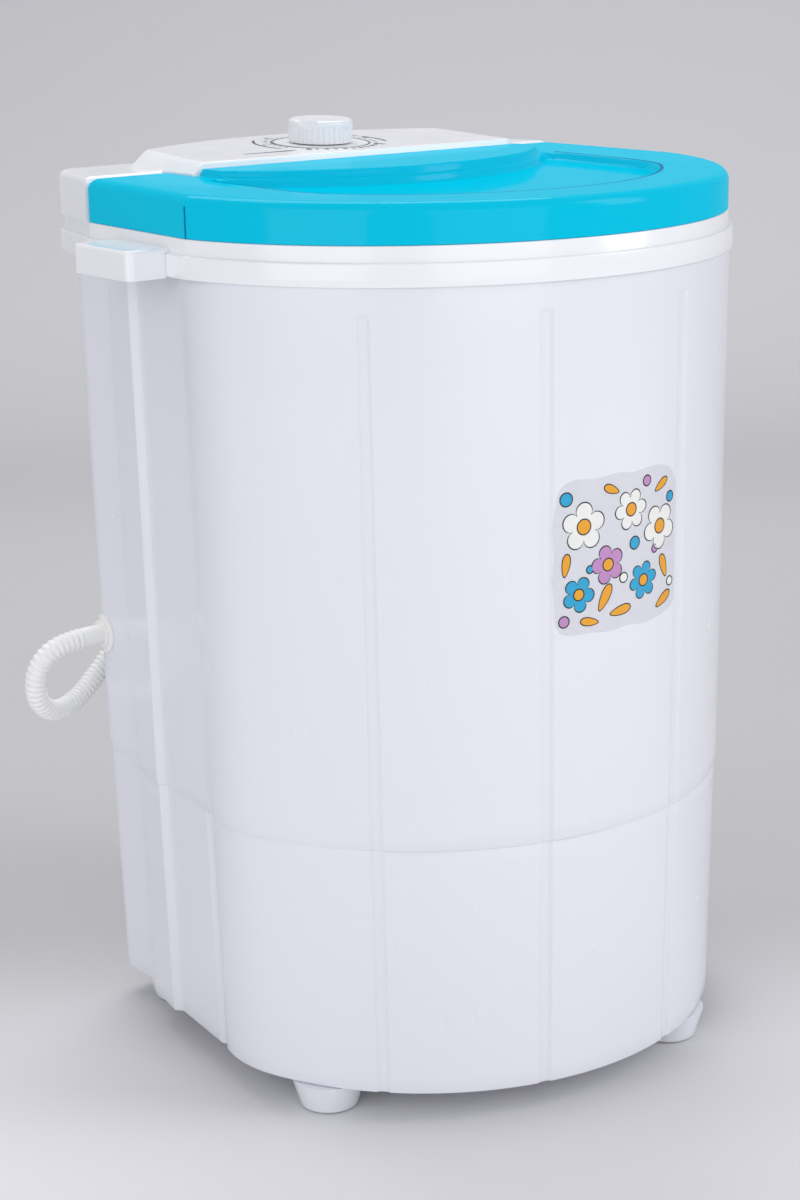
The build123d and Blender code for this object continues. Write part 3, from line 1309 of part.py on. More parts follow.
def make_hose_clips(path):
    """Open rings on the rear wall that the hose presses into, each on a screwed base."""
    clips = []
    inner = HOSE_R + CLIP_FIT
    for z, (screw_x, _) in zip(CLIP_Z, clip_screw_places(path)):
        t = point_at_height(path, z)
        centre = path @ t
        place = hose_plane(path, t)
        wall_y = clip_wall_y(z)
        base = box((centre.X - 8, screw_x + 6), (wall_y, wall_y + CLIP_BASE_T), (z - 7, z + 7))
        stem = box((centre.X - 6, centre.X + 6), (wall_y, centre.Y), (z - 5, z + 5))
        clip = place * Cylinder(inner + CLIP_T, CLIP_W) + base + stem
        clip -= place * Cylinder(inner, CLIP_W + 8)
        clip -= place * Pos(inner + 5, 0, 0) * Box(12, 1.6 * inner, CLIP_W + 4)
        clips.append(clip - rear_bore(screw_x, z))
    return clips


def clip_screw_places(path):
    return [((path @ point_at_height(path, z)).X + CLIP_SCREW_DX, z) for z in CLIP_Z]


def make_clip_screws(path):
    parts = []
    for x, z in clip_screw_places(path):
        y = clip_wall_y(z) + CLIP_BASE_T + 0.02
        parts.append(screw(Pos(x, y, z) * Rot(90, 0, 0), 9.0))
    return parts


def make_hose_nozzle(path):
    """End cuff of the hose: a tapered outlet, with a spigot inside the hose."""
    outer = HOSE_R + CUFF_WALL
    cuff = rod(outer, -CUFF_L, 2) - rod(HOSE_R + 0.15, -CUFF_L - 1, 0)
    tip = Pos(0, 0, 2) * Cone(outer, HOSE_R - 0.6, NOZZLE_L, align=UP)
    spigot = rod(SPIGOT_R, 2 - CUFF_L, 1)
    return hose_plane(path, 1.0) * (cuff + tip + spigot - rod(SPIGOT_BORE_R, -CUFF_L - 6, NOZZLE_L + 22))


def build_all():
    """Every piece by node name."""
    path = smooth_path(hose_route(), "hose")
    pieces = {
        "upper_casing": make_upper_casing(path),
        "base_housing": make_base_housing(),
        "top_rim": make_top_rim(),
        "side_handle_left": make_side_handle(-1),
        "side_handle_right": make_side_handle(1),
        "control_panel": make_control_panel(),
        "panel_screws": make_panel_screws(),
        "timer_knob": make_timer_knob(),
        "timer_shaft": make_timer_shaft(),
        "timer_body": make_timer_body(),
        "timer_screws": make_timer_screws(),
        "lid": make_lid(),
        "lid_hinge_pins": make_hinge_pins(),
        "wash_tub": make_wash_tub(),
        "tub_flange_screws": make_tub_screws(),
        "pulsator": make_pulsator(),
        "pulsator_screw": make_pulsator_screw(),
        "pulsator_shaft": make_pulsator_shaft(),
        "bearing_housing": make_bearing_housing(),
        "bearing_screws": make_bearing_screws(),
        "bearing_bushes": make_bearing_bushes(),
        "shaft_seal": make_shaft_seal(),
        "driven_pulley": make_driven_pulley(),
        "v_belt": make_v_belt(),
        "motor_pulley": make_motor_pulley(),
        "motor_shaft": make_motor_shaft(),
        "rotor": make_rotor(),
        "stator": make_stator(),
        "stator_windings": make_windings(),
        "motor_lower_bell": make_lower_bell(),
        "motor_upper_bell": make_upper_bell(),
        "motor_plate": make_motor_plate(),
        "rubber_mounts": make_rubber_mounts(),
        "motor_screws": make_motor_screws(),
        "capacitor": make_capacitor(),
        "capacitor_clamp": make_capacitor_clamp(),
        "clamp_screw": make_clamp_screw(),
        "bottom_cover": make_bottom_cover(),
        "bottom_cover_screws": make_bottom_cover_screws(),
        "foot_screws": make_foot_screws(),
        "base_screws": make_base_screws(),
        "rear_cover": make_rear_cover(),
        "rear_cover_screws": make_rear_cover_screws(),
        "cord_gland": make_cord_gland(),
        "drain_strainer": make_drain_strainer(),
        "drain_elbow": make_drain_elbow(),
        "inner_drain_tube": make_inner_drain_tube(),
        "hose_outlet": make_hose_outlet(),
        "drain_hose": make_drain_hose(path),
        "hose_nozzle": make_hose_nozzle(path),
        "hose_clips": make_hose_clips(path),
        "clip_screws": make_clip_screws(path),
    }
    names = ("foot_front_left", "foot_front_right", "foot_rear_left", "foot_rear_right")
    for name, (x, y) in zip(names, FEET):
        pieces[name] = make_foot(x, y)
    return pieces


def solids_of(piece):
    """All solids of one piece or of a group of loose pieces."""
    return [s for item in (piece if isinstance(piece, list) else [piece]) for s in item.solids()]


HANGING = ("drain_hose", "hose_nozzle")
pieces = {name: solids_of(piece) for name, piece in build_all().items()}
boxes = [s.bounding_box() for name, solids in pieces.items() if name not in HANGING for s in solids]
middle_y = (min(b.min.Y for b in boxes) + max(b.max.Y for b in boxes)) / 2
print("moved along Y by", round(-middle_y, 3))
for name, solids in pieces.items():
    moved = [Pos(0, -middle_y, 0) * s for s in solids]
    export_step(moved[0] if len(moved) == 1 else Compound(children=moved), "parts/" + name + ".step")
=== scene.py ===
"""Looks of a compact top-loading washing machine.

It has glossy white shells, a tinted flip-up lid, a dial and a ribbed hose. Every piece is placed in the
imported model's frame. Sizes are in millimetres about the wash tub's upright axis, and become metres in the
frame through `place`.
"""
import json
import logging
import math
from dataclasses import dataclass, field
from enum import Enum
from functools import lru_cache
from typing import Callable, Iterable, Sequence

import bmesh
import bpy
from mathutils import Matrix, Vector
from mathutils.geometry import delaunay_2d_cdt


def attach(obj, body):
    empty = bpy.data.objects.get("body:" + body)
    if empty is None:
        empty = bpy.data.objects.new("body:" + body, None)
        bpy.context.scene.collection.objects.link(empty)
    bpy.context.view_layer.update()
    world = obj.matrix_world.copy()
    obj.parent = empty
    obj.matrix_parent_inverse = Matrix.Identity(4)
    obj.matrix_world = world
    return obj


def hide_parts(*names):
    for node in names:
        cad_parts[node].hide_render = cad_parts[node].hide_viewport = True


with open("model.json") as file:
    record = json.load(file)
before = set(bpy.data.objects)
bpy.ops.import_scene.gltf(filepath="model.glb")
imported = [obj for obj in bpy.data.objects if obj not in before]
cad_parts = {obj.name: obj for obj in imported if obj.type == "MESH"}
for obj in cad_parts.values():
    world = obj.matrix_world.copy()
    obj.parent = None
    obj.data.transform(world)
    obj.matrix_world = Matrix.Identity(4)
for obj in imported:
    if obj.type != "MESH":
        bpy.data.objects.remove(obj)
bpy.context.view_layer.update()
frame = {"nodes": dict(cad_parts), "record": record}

logging.basicConfig(level=logging.INFO, format="%(message)s")
log = logging.getLogger("washer")

Colour = tuple[float, float, float]
Point2 = tuple[float, float]
Point3 = tuple[float, float, float]
Row = list[Vector]
Face = tuple[int, ...]

MM = 0.001
AXIS_Y = 0.007999
VIEW_YAW = 36.56
CREASE_DEGREES = 38.0


def place(x: float, y: float, z: float) -> Vector:
    """Turn millimetres about the tub's axis into a point of the frame.

    Args:
        x: Distance to the right of the tub's axis.
        y: Distance behind the tub's axis.
        z: Height over the floor.

    Returns:
        The point in metres.
    """
    return Vector((x * MM, y * MM + AXIS_Y, z * MM))


def smooth_step(low: float, high: float, value: float) -> float:
    """Ease from 0 to 1 as a value goes from low to high.

    Args:
        low: Where the ease starts.
        high: Where the ease ends.
        value: The value itself.

    Returns:
        A share from 0 to 1.
    """
    t = min(1.0, max(0.0, (value - low) / (high - low)))
    return t * t * (3 - 2 * t)


class Body(Enum):
    """The rigid bodies that the pieces made here ride on."""

    CABINET = "cabinet"
    LID = "lid"


class Slot(Enum):
    """The record's material slots."""

    SHELL = "shell_white"
    RIM = "rim_white"
    KNOB = "knob_white"
    LID = "lid_cyan"
    TUB = "tub_white"
    HOSE = "hose_white"
    INNER = "inner_plastic"
    BLACK = "black_plastic"
    RUBBER = "rubber_black"
    STEEL = "steel"
    PLATE = "plate_steel"
    LAMINATION = "lamination"
    COPPER = "copper"
    BRONZE = "bronze"
    ALLOY = "alloy"


class Group(Enum):
    """Shader effects that more than one finish uses."""

    SKIN = "moulded_skin"
    SCUFF = "fine_scuffs"
    DUST = "settled_dust"
    BRUSH = "brushed_lines"


class ShaderGroup:
    """Builds each shared shader effect once, as a node group."""

    def __init__(self) -> None:
        """Start with no group built."""
        self.built: dict[Group, bpy.types.NodeTree] = {}

    def get(self, group: Group) -> bpy.types.NodeTree:
        """Give a group, building it the first time.

        Args:
            group: The effect that is wanted.

        Returns:
            Its node tree.
        """
        if group not in self.built:
            makers: dict[Group, Callable[[], bpy.types.NodeTree]] = {
                Group.SKIN: self._skin,
                Group.SCUFF: self._scuff,
                Group.DUST: self._dust,
                Group.BRUSH: self._brush,
            }
            self.built[group] = makers[group]()
        return self.built[group]

    @staticmethod
    def _start(
        name: str, inputs: dict[str, object], outputs: Sequence[str],
    ) -> tuple["Net", bpy.types.Node, bpy.types.Node, bpy.types.NodeSocket]:
        """Make a group with its sockets and the nodes that every effect starts from.

        Args:
            name: The group's name.
            inputs: Default value of each input; a tuple is a colour.
            outputs: Name of each output.

        Returns:
            The group's net, its input node, its output node and the piece's own coordinates.
        """
        tree = bpy.data.node_groups.new(name, "ShaderNodeTree")
        for label, value in inputs.items():
            kind = "NodeSocketColor" if isinstance(value, tuple) else "NodeSocketFloat"
            socket = tree.interface.new_socket(label, in_out="INPUT", socket_type=kind)
            socket.default_value = (*value, 1.0) if isinstance(value, tuple) else value
        for label in outputs:
            kind = "NodeSocketColor" if label == "Color" else "NodeSocketFloat"
            tree.interface.new_socket(label, in_out="OUTPUT", socket_type=kind)
        net = Net(tree)
        given, out = net.add("NodeGroupInput"), net.add("NodeGroupOutput")
        return net, given, out, net.add("ShaderNodeTexCoord").outputs["Object"]

    def _skin(self) -> bpy.types.NodeTree:
        """Moulded plastic: a slow drift of tone, a drift of gloss and a faint orange-peel."""
        gloss_scale, wave_scale, grain_share = 38.0, 14.0, 0.4
        net, given, out, where = self._start(
            "moulded_skin",
            {"Color": (0.8, 0.8, 0.8), "Shade": (0.7, 0.7, 0.7), "Tone Scale": 9.0, "Tone Mix": 0.5,
             "Roughness": 0.2, "Roughness Spread": 0.05, "Grain Scale": 420.0},
            ("Color", "Roughness", "Height"),
        )
        tone = net.noise(where, given.outputs["Tone Scale"], detail=3.0)
        share = net.math("MULTIPLY", tone, given.outputs["Tone Mix"])
        net.link(net.mix(share, given.outputs["Color"], given.outputs["Shade"]), out.inputs["Color"])
        centred = net.math("SUBTRACT", net.noise(where, gloss_scale, detail=2.0), 0.5)
        drift = net.math("MULTIPLY", centred, given.outputs["Roughness Spread"])
        net.link(net.math("ADD", given.outputs["Roughness"], drift), out.inputs["Roughness"])
        grain = net.noise(where, given.outputs["Grain Scale"], detail=2.0)
        wave = net.math("MULTIPLY", net.noise(where, wave_scale, detail=1.0), 1 - grain_share)
        net.link(net.math("ADD", net.math("MULTIPLY", grain, grain_share), wave), out.inputs["Height"])
        return net.tree

    def _scuff(self) -> bpy.types.NodeTree:
        """Fine handling marks: long thin noise cut off at a level."""
        gain, patch_scale = 9.0, 7.0
        net, given, out, where = self._start(
            "fine_scuffs", {"Amount": 0.3, "Scale": 60.0, "Level": 0.62}, ("Mask",)
        )
        turn = net.add("ShaderNodeMapping")
        turn.inputs["Rotation"].default_value = (0.4, 0.7, 0.3)
        turn.inputs["Scale"].default_value = (1.0, 11.0, 1.0)
        net.link(where, turn.inputs["Vector"])
        lines = net.noise(turn.outputs["Vector"], given.outputs["Scale"], detail=4.0)
        marks = net.over(lines, given.outputs["Level"], gain)
        mask = net.math("MULTIPLY", marks, net.noise(where, patch_scale, detail=2.0))
        net.link(net.math("MULTIPLY", mask, given.outputs["Amount"]), out.inputs["Mask"])
        return net.tree

    def _dust(self) -> bpy.types.NodeTree:
        """Dust that settles on what faces up, broken by noise."""
        least_up, up_gain = 0.45, 2.2
        least_speck, speck_gain = 0.48, 4.0
        net, given, out, where = self._start("settled_dust", {"Amount": 0.2, "Scale": 240.0}, ("Mask",))
        split = net.add("ShaderNodeSeparateXYZ")
        net.link(net.add("ShaderNodeNewGeometry").outputs["Normal"], split.inputs["Vector"])
        up = net.over(split.outputs["Z"], least_up, up_gain)
        specks = net.over(net.noise(where, given.outputs["Scale"], detail=5.0), least_speck, speck_gain)
        mask = net.math("MULTIPLY", up, specks)
        net.link(net.math("MULTIPLY", mask, given.outputs["Amount"]), out.inputs["Mask"])
        return net.tree

    def _brush(self) -> bpy.types.NodeTree:
        """Fine lines of drawn or turned metal."""
        roughness_spread = 0.22
        net, given, out, where = self._start(
            "brushed_lines",
            {"Color": (0.6, 0.6, 0.6), "Shade": (0.4, 0.4, 0.4), "Roughness": 0.3, "Scale": 90.0},
            ("Color", "Roughness", "Height"),
        )
        stretch = net.add("ShaderNodeMapping")
        stretch.inputs["Scale"].default_value = (1.0, 1.0, 28.0)
        net.link(where, stretch.inputs["Vector"])
        lines = net.noise(stretch.outputs["Vector"], given.outputs["Scale"], detail=5.0)
        net.link(net.mix(lines, given.outputs["Shade"], given.outputs["Color"]), out.inputs["Color"])
        drift = net.math("MULTIPLY", net.math("SUBTRACT", lines, 0.5), roughness_spread)
        net.link(net.math("ADD", given.outputs["Roughness"], drift), out.inputs["Roughness"])
        net.link(lines, out.inputs["Height"])
        return net.tree


class Net:
    """Short calls for building one node tree."""

    def __init__(self, tree: bpy.types.NodeTree) -> None:
        """Keep the tree that nodes are added to."""
        self.tree = tree

    def add(self, kind: str) -> bpy.types.Node:
        """Add a node of one kind."""
        return self.tree.nodes.new(kind)

    def link(self, source: bpy.types.NodeSocket, target: bpy.types.NodeSocket) -> None:
        """Join an output to an input."""
        self.tree.links.new(source, target)

    def feed(self, value: object, target: bpy.types.NodeSocket) -> None:
        """Set a number on a socket, or join an output to it."""
        if isinstance(value, bpy.types.NodeSocket):
            self.link(value, target)
        else:
            target.default_value = value

    def math(self, operation: str, a: object, b: object) -> bpy.types.NodeSocket:
        """Join two values by one operation.

        Args:
            operation: Name of the operation.
            a: A number or an output.
            b: A number or an output.

        Returns:
            The result's output.
        """
        node = self.add("ShaderNodeMath")
        node.operation = operation
        self.feed(a, node.inputs[0])
        self.feed(b, node.inputs[1])
        return node.outputs[0]

    def clamp(self, value: bpy.types.NodeSocket) -> bpy.types.NodeSocket:
        """Keep a value between 0 and 1."""
        node = self.add("ShaderNodeClamp")
        self.link(value, node.inputs["Value"])
        return node.outputs["Result"]

    def over(self, value: object, level: object, gain: float) -> bpy.types.NodeSocket:
        """Give how far a value lies over a level, times a gain, from 0 to 1."""
        return self.clamp(self.math("MULTIPLY", self.math("SUBTRACT", value, level), gain))

    def mix(self, share: object, a: object, b: object) -> bpy.types.NodeSocket:
        """Blend two colours.

        Args:
            share: How much of the second colour shows.
            a: First colour.
            b: Second colour.

        Returns:
            The blended colour's output.
        """
        node = self.add("ShaderNodeMix")
        node.data_type = "RGBA"
        self.feed(share, node.inputs["Factor"])
        self.feed(a, node.inputs["A"])
        self.feed(b, node.inputs["B"])
        return node.outputs["Result"]

    def noise(self, where: bpy.types.NodeSocket, scale: object, detail: float) -> bpy.types.NodeSocket:
        """Add a noise texture.

        Args:
            where: Coordinates to read it at.
            scale: Its scale, a number or an output.
            detail: Its detail.

        Returns:
            The noise value's output.
        """
        node = self.add("ShaderNodeTexNoise")
        self.link(where, node.inputs["Vector"])
        node.inputs["Detail"].default_value = detail
        self.feed(scale, node.inputs["Scale"])
        return node.outputs["Fac"]

    def group(self, tree: bpy.types.NodeTree, values: dict[str, object]) -> bpy.types.Node:
        """Place a shared group with its own values.

        Args:
            tree: The group's tree.
            values: Value or output for each input that isn't left at its default.

        Returns:
            The group node.
        """
        node = self.add("ShaderNodeGroup")
        node.node_tree = tree
        for label, value in values.items():
            target = node.inputs[label]
            self.feed((*value, 1.0) if isinstance(value, tuple) else value, target)
        return node

    def bump(self, height: bpy.types.NodeSocket, distance: float, target: bpy.types.NodeSocket) -> None:
        """Add a bump from a height to a normal input.

        Args:
            height: The height's output.
            distance: Depth of the bump in metres.
            target: The normal input that it feeds.
        """
        node = self.add("ShaderNodeBump")
        node.inputs["Distance"].default_value = distance
        self.link(height, node.inputs["Height"])
        self.link(node.outputs["Normal"], target)


GROUPS = ShaderGroup()


def new_material(name: str) -> tuple[bpy.types.Material, Net, bpy.types.Node]:
    """Start a material.

    Args:
        name: The material's name.

    Returns:
        The material, its net and its Principled BSDF.
    """
    material = bpy.data.materials.new(name)
    material.use_nodes = True
    return material, Net(material.node_tree), material.node_tree.nodes["Principled BSDF"]


@dataclass(frozen=True)
class PlasticFinish:
    """Moulded plastic with a clear gloss, faint orange-peel, scuffs and dust."""

    name: str
    colour: Colour
    shade: Colour
    roughness: float
    coat: float = 0.0
    coat_roughness: float = 0.06
    peel: float = 0.00002
    scuff: float = 0.05
    dust: float = 0.02
    dust_colour: Colour = (0.62, 0.6, 0.57)
    subsurface: float = 0.0
    subsurface_reach: Colour = (0.004, 0.004, 0.005)

    def build(self) -> bpy.types.Material:
        """Build the material."""
        material, net, shader = new_material(self.name)
        skin = net.group(GROUPS.get(Group.SKIN), {
            "Color": self.colour, "Shade": self.shade, "Roughness": self.roughness,
            "Roughness Spread": self.roughness * 0.5,
        })
        scuff = net.group(GROUPS.get(Group.SCUFF), {"Amount": self.scuff})
        dust = net.group(GROUPS.get(Group.DUST), {"Amount": self.dust})
        dusty = net.mix(dust.outputs["Mask"], skin.outputs["Color"], (*self.dust_colour, 1.0))
        net.link(dusty, shader.inputs["Base Color"])
        rough = net.math("ADD", skin.outputs["Roughness"], scuff.outputs["Mask"])
        rough = net.math("ADD", rough, dust.outputs["Mask"])
        net.link(net.clamp(rough), shader.inputs["Roughness"])
        shader.inputs["Coat Weight"].default_value = self.coat
        shader.inputs["Coat Roughness"].default_value = self.coat_roughness
        shader.inputs["Subsurface Weight"].default_value = self.subsurface
        shader.inputs["Subsurface Radius"].default_value = self.subsurface_reach
        net.bump(skin.outputs["Height"], self.peel, shader.inputs["Normal"])
        return material


@dataclass(frozen=True)
class MetalFinish:
    """Drawn, turned or cast metal."""

    name: str
    colour: Colour
    shade: Colour
    roughness: float
    scale: float = 90.0
    dust: float = 0.15
    dust_colour: Colour = (0.4, 0.38, 0.35)
    relief: float = 0.00001

    def build(self) -> bpy.types.Material:
        """Build the material."""
        material, net, shader = new_material(self.name)
        lines = net.group(GROUPS.get(Group.BRUSH), {
            "Color": self.colour, "Shade": self.shade, "Roughness": self.roughness, "Scale": self.scale,
        })
        dust = net.group(GROUPS.get(Group.DUST), {"Amount": self.dust})
        dusty = net.mix(dust.outputs["Mask"], lines.outputs["Color"], (*self.dust_colour, 1.0))
        net.link(dusty, shader.inputs["Base Color"])
        net.link(lines.outputs["Roughness"], shader.inputs["Roughness"])
        shader.inputs["Metallic"].default_value = 1.0
        net.bump(lines.outputs["Height"], self.relief, shader.inputs["Normal"])
        return material


@dataclass(frozen=True)
class TintedFinish:
    """Tinted plastic of the lid: nearly opaque under a thin clear coat, with faint painted light: emission in
    its own colour that makes it shine brighter, though it is no lamp.
    """

    name: str
    colour: Colour
    shade: Colour
    transmission: float
    roughness: float
    ior: float = 1.49
    coat: float = 0.14
    coat_roughness: float = 0.05
    painted_glow: float = 0.14
    peel: float = 0.000012

    def build(self) -> bpy.types.Material:
        """Build the material."""
        material, net, shader = new_material(self.name)
        skin = net.group(GROUPS.get(Group.SKIN), {
            "Color": self.colour, "Shade": self.shade, "Tone Scale": 5.0, "Tone Mix": 0.35,
            "Roughness": self.roughness, "Roughness Spread": 0.03, "Grain Scale": 300.0,
        })
        scuff = net.group(GROUPS.get(Group.SCUFF), {"Amount": 0.05, "Scale": 45.0, "Level": 0.66})
        net.link(skin.outputs["Color"], shader.inputs["Base Color"])
        rough = net.math("ADD", skin.outputs["Roughness"], scuff.outputs["Mask"])
        net.link(net.clamp(rough), shader.inputs["Roughness"])
        shader.inputs["IOR"].default_value = self.ior
        shader.inputs["Transmission Weight"].default_value = self.transmission
        shader.inputs["Specular IOR Level"].default_value = 0.0
        shader.inputs["Coat Weight"].default_value = self.coat
        shader.inputs["Coat Roughness"].default_value = self.coat_roughness
        # Painted light: the emission makes the lid's plastic shine in its own colour to brighten it; it is
        # not a lamp.
        shader.inputs["Emission Color"].default_value = (*self.colour, 1.0)
        shader.inputs["Emission Strength"].default_value = self.painted_glow
        net.bump(skin.outputs["Height"], self.peel, shader.inputs["Normal"])
        return material


@dataclass(frozen=True)
class InkFinish:
    """Printed ink or film: a thin layer with a slight unevenness."""

    name: str
    colour: Colour
    roughness: float
    alpha: float = 1.0
    darker: float = 0.82
    peel: float = 0.000005

    def build(self) -> bpy.types.Material:
        """Build the material."""
        material, net, shader = new_material(self.name)
        shade = tuple(c * self.darker for c in self.colour)
        skin = net.group(GROUPS.get(Group.SKIN), {
            "Color": self.colour, "Shade": shade, "Tone Scale": 160.0, "Tone Mix": 0.5,
            "Roughness": self.roughness, "Roughness Spread": 0.15, "Grain Scale": 900.0,
        })
        net.link(skin.outputs["Color"], shader.inputs["Base Color"])
        net.link(skin.outputs["Roughness"], shader.inputs["Roughness"])
        shader.inputs["Alpha"].default_value = self.alpha
        net.bump(skin.outputs["Height"], self.peel, shader.inputs["Normal"])
        return material


Finish = PlasticFinish | MetalFinish | TintedFinish | InkFinish

FINISHES: dict[Slot, Finish] = {
    Slot.SHELL: PlasticFinish("shell_white", (0.81, 0.815, 0.875), (0.77, 0.775, 0.845), 0.24, coat=0.35),
    Slot.RIM: PlasticFinish("rim_white", (0.89, 0.895, 0.93), (0.86, 0.865, 0.905), 0.22, coat=0.35),
    Slot.KNOB: PlasticFinish("knob_white", (0.84, 0.84, 0.875), (0.79, 0.79, 0.84), 0.3, coat=0.2),
    Slot.LID: TintedFinish("lid_cyan", (0.0, 0.49, 0.69), (0.0, 0.44, 0.64), 0.06, 0.18),
    Slot.TUB: PlasticFinish("tub_white", (0.82, 0.84, 0.85), (0.77, 0.79, 0.81), 0.2, coat=0.3),
    Slot.HOSE: PlasticFinish("hose_white", (0.9, 0.9, 0.89), (0.82, 0.82, 0.81), 0.42, subsurface=0.15),
    Slot.INNER: PlasticFinish("inner_plastic", (0.6, 0.61, 0.63), (0.5, 0.51, 0.53), 0.5, peel=0.00004),
    Slot.BLACK: PlasticFinish("black_plastic", (0.035, 0.035, 0.04), (0.02, 0.02, 0.022), 0.4, peel=0.00004),
    Slot.RUBBER: PlasticFinish("rubber_black", (0.03, 0.03, 0.03), (0.018, 0.018, 0.018), 0.7, peel=0.00006),
    Slot.STEEL: MetalFinish("steel", (0.66, 0.66, 0.68), (0.46, 0.46, 0.49), 0.28),
    Slot.PLATE: MetalFinish("plate_steel", (0.34, 0.35, 0.37), (0.22, 0.23, 0.25), 0.45, scale=30.0),
    Slot.LAMINATION: MetalFinish("lamination", (0.28, 0.28, 0.3), (0.12, 0.12, 0.13), 0.5, scale=200.0),
    Slot.COPPER: MetalFinish("copper", (0.72, 0.34, 0.16), (0.4, 0.15, 0.06), 0.32, scale=220.0),
    Slot.BRONZE: MetalFinish("bronze", (0.66, 0.46, 0.22), (0.42, 0.27, 0.12), 0.42),
    Slot.ALLOY: MetalFinish("alloy", (0.68, 0.69, 0.71), (0.5, 0.51, 0.53), 0.38, scale=50.0),
}


class Wardrobe:
    """Builds each finish once and hands it out by slot."""

    def __init__(self) -> None:
        """Start with no material built."""
        self.made: dict[str, bpy.types.Material] = {}

    def get(self, finish: Finish) -> bpy.types.Material:
        """Give a finish's material, building it the first time."""
        if finish.name not in self.made:
            self.made[finish.name] = finish.build()
        return self.made[finish.name]

    def slot(self, slot: Slot) -> bpy.types.Material:
        """Give the material of a record slot."""
        return self.get(FINISHES[slot])


WARDROBE = Wardrobe()


def dress(piece: bpy.types.Object, material: bpy.types.Material) -> None:
    """Give a piece one material."""
    piece.data.materials.clear()
    piece.data.materials.append(material)


def shade_smooth(mesh: bpy.types.Mesh) -> None:
    """Shade every face of a mesh smooth."""
    mesh.polygons.foreach_set("use_smooth", [True] * len(mesh.polygons))


def link_mesh(name: str, verts: Sequence[Vector], faces: Sequence[Sequence[int]]) -> bpy.types.Object:
    """Make a smooth mesh object with its normals facing outward.

    Args:
        name: The object's name.
        verts: Points of the frame.
        faces: Vertex numbers of each face.

    Returns:
        The new object.
    """
    weld = 1e-7
    mesh = bpy.data.meshes.new(name)
    mesh.from_pydata([tuple(v) for v in verts], [], [tuple(f) for f in faces])
    work = bmesh.new()
    work.from_mesh(mesh)
    bmesh.ops.remove_doubles(work, verts=work.verts, dist=weld)
    bmesh.ops.recalc_face_normals(work, faces=work.faces)
    work.to_mesh(mesh)
    work.free()
    shade_smooth(mesh)
    piece = bpy.data.objects.new(name, mesh)
    bpy.context.scene.collection.objects.link(piece)
    return piece


def join_rows(rows: Sequence[Row], tube: bool = False) -> tuple[list[Vector], list[Face]]:
    """Join rings of equal count into one closed skin.

    Args:
        rows: The rings, in order.
        tube: Whether the last ring joins the first; otherwise a face closes each of the two.

    Returns:
        The points and faces.
    """
    count = len(rows[0])
    verts = [v for row in rows for v in row]
    faces: list[Face] = []
    for r in range(len(rows) - 1):
        a, b = r * count, (r + 1) * count
        for i in range(count):
            j = (i + 1) % count
            faces.append((a + i, a + j, b + j, b + i))
    last = len(verts) - count
    if tube:
        faces += [(last + k, last + (k + 1) % count, (k + 1) % count, k) for k in range(count)]
    else:
        faces += [tuple(range(count)), tuple(range(last, len(verts)))]
    return verts, faces


def dress_piece(
    piece: bpy.types.Object, body: Body, slot: Slot, material: bpy.types.Material | None = None,
) -> None:
    """Dress a new piece in its slot's finish and let it ride.

    Args:
        piece: The piece.
        body: The body that it moves with.
        slot: The record slot that it takes its finish from.
        material: Another material than the slot's own, where the piece is printed.
    """
    dress(piece, material or WARDROBE.slot(slot))
    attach(piece, body.value)
    log.info("piece %s on %s", piece.name, body.value)


@dataclass
class PhotoCamera:
    """The viewpoint of the photograph, fitted to the machine's outlines."""

    position: Point3 = (-843.7, -1112.3, 634.5)
    yaw: float = VIEW_YAW
    pitch: float = 15.07
    roll: float = 1.23
    lens: float = 72.117
    sensor: float = 36.0
    nearest: float = 0.05

    def build(self) -> bpy.types.Object:
        """Place the camera and make it the scene's own.

        Returns:
            The camera object.
        """
        yaw, pitch, roll = (math.radians(v) for v in (self.yaw, self.pitch, self.roll))
        forward = Vector((math.sin(yaw) * math.cos(pitch), math.cos(yaw) * math.cos(pitch), -math.sin(pitch)))
        side = Vector((math.cos(yaw), -math.sin(yaw), 0))
        down = forward.cross(side)
        right = math.cos(roll) * side + math.sin(roll) * down
        low = -math.sin(roll) * side + math.cos(roll) * down
        matrix = Matrix((right, -low, -forward)).transposed().to_4x4()
        matrix.translation = place(*self.position)
        data = bpy.data.cameras.new("photo_camera")
        data.lens = self.lens
        data.sensor_width = self.sensor
        data.sensor_fit = "AUTO"
        data.clip_start = self.nearest
        camera = bpy.data.objects.new("photo_camera", data)
        bpy.context.scene.collection.objects.link(camera)
        camera.matrix_world = matrix
        bpy.context.scene.camera = camera
        return camera


@dataclass
class Softbox:
    """One studio softbox that points at the machine."""

    name: str
    place_mm: Point3
    aim_mm: Point3
    width: float
    height: float
    power: float

    def build(self) -> bpy.types.Object:
        """Place the lamp.

        Returns:
            The lamp object.
        """
        data = bpy.data.lights.new(self.name, "AREA")
        data.shape = "RECTANGLE"
        data.size = self.width
        data.size_y = self.height
        data.energy = self.power
        lamp = bpy.data.objects.new(self.name, data)
        bpy.context.scene.collection.objects.link(lamp)
        start, aim = place(*self.place_mm), place(*self.aim_mm)
        lamp.location = start
        lamp.rotation_euler = (aim - start).to_track_quat("-Z", "Y").to_euler()
        return lamp


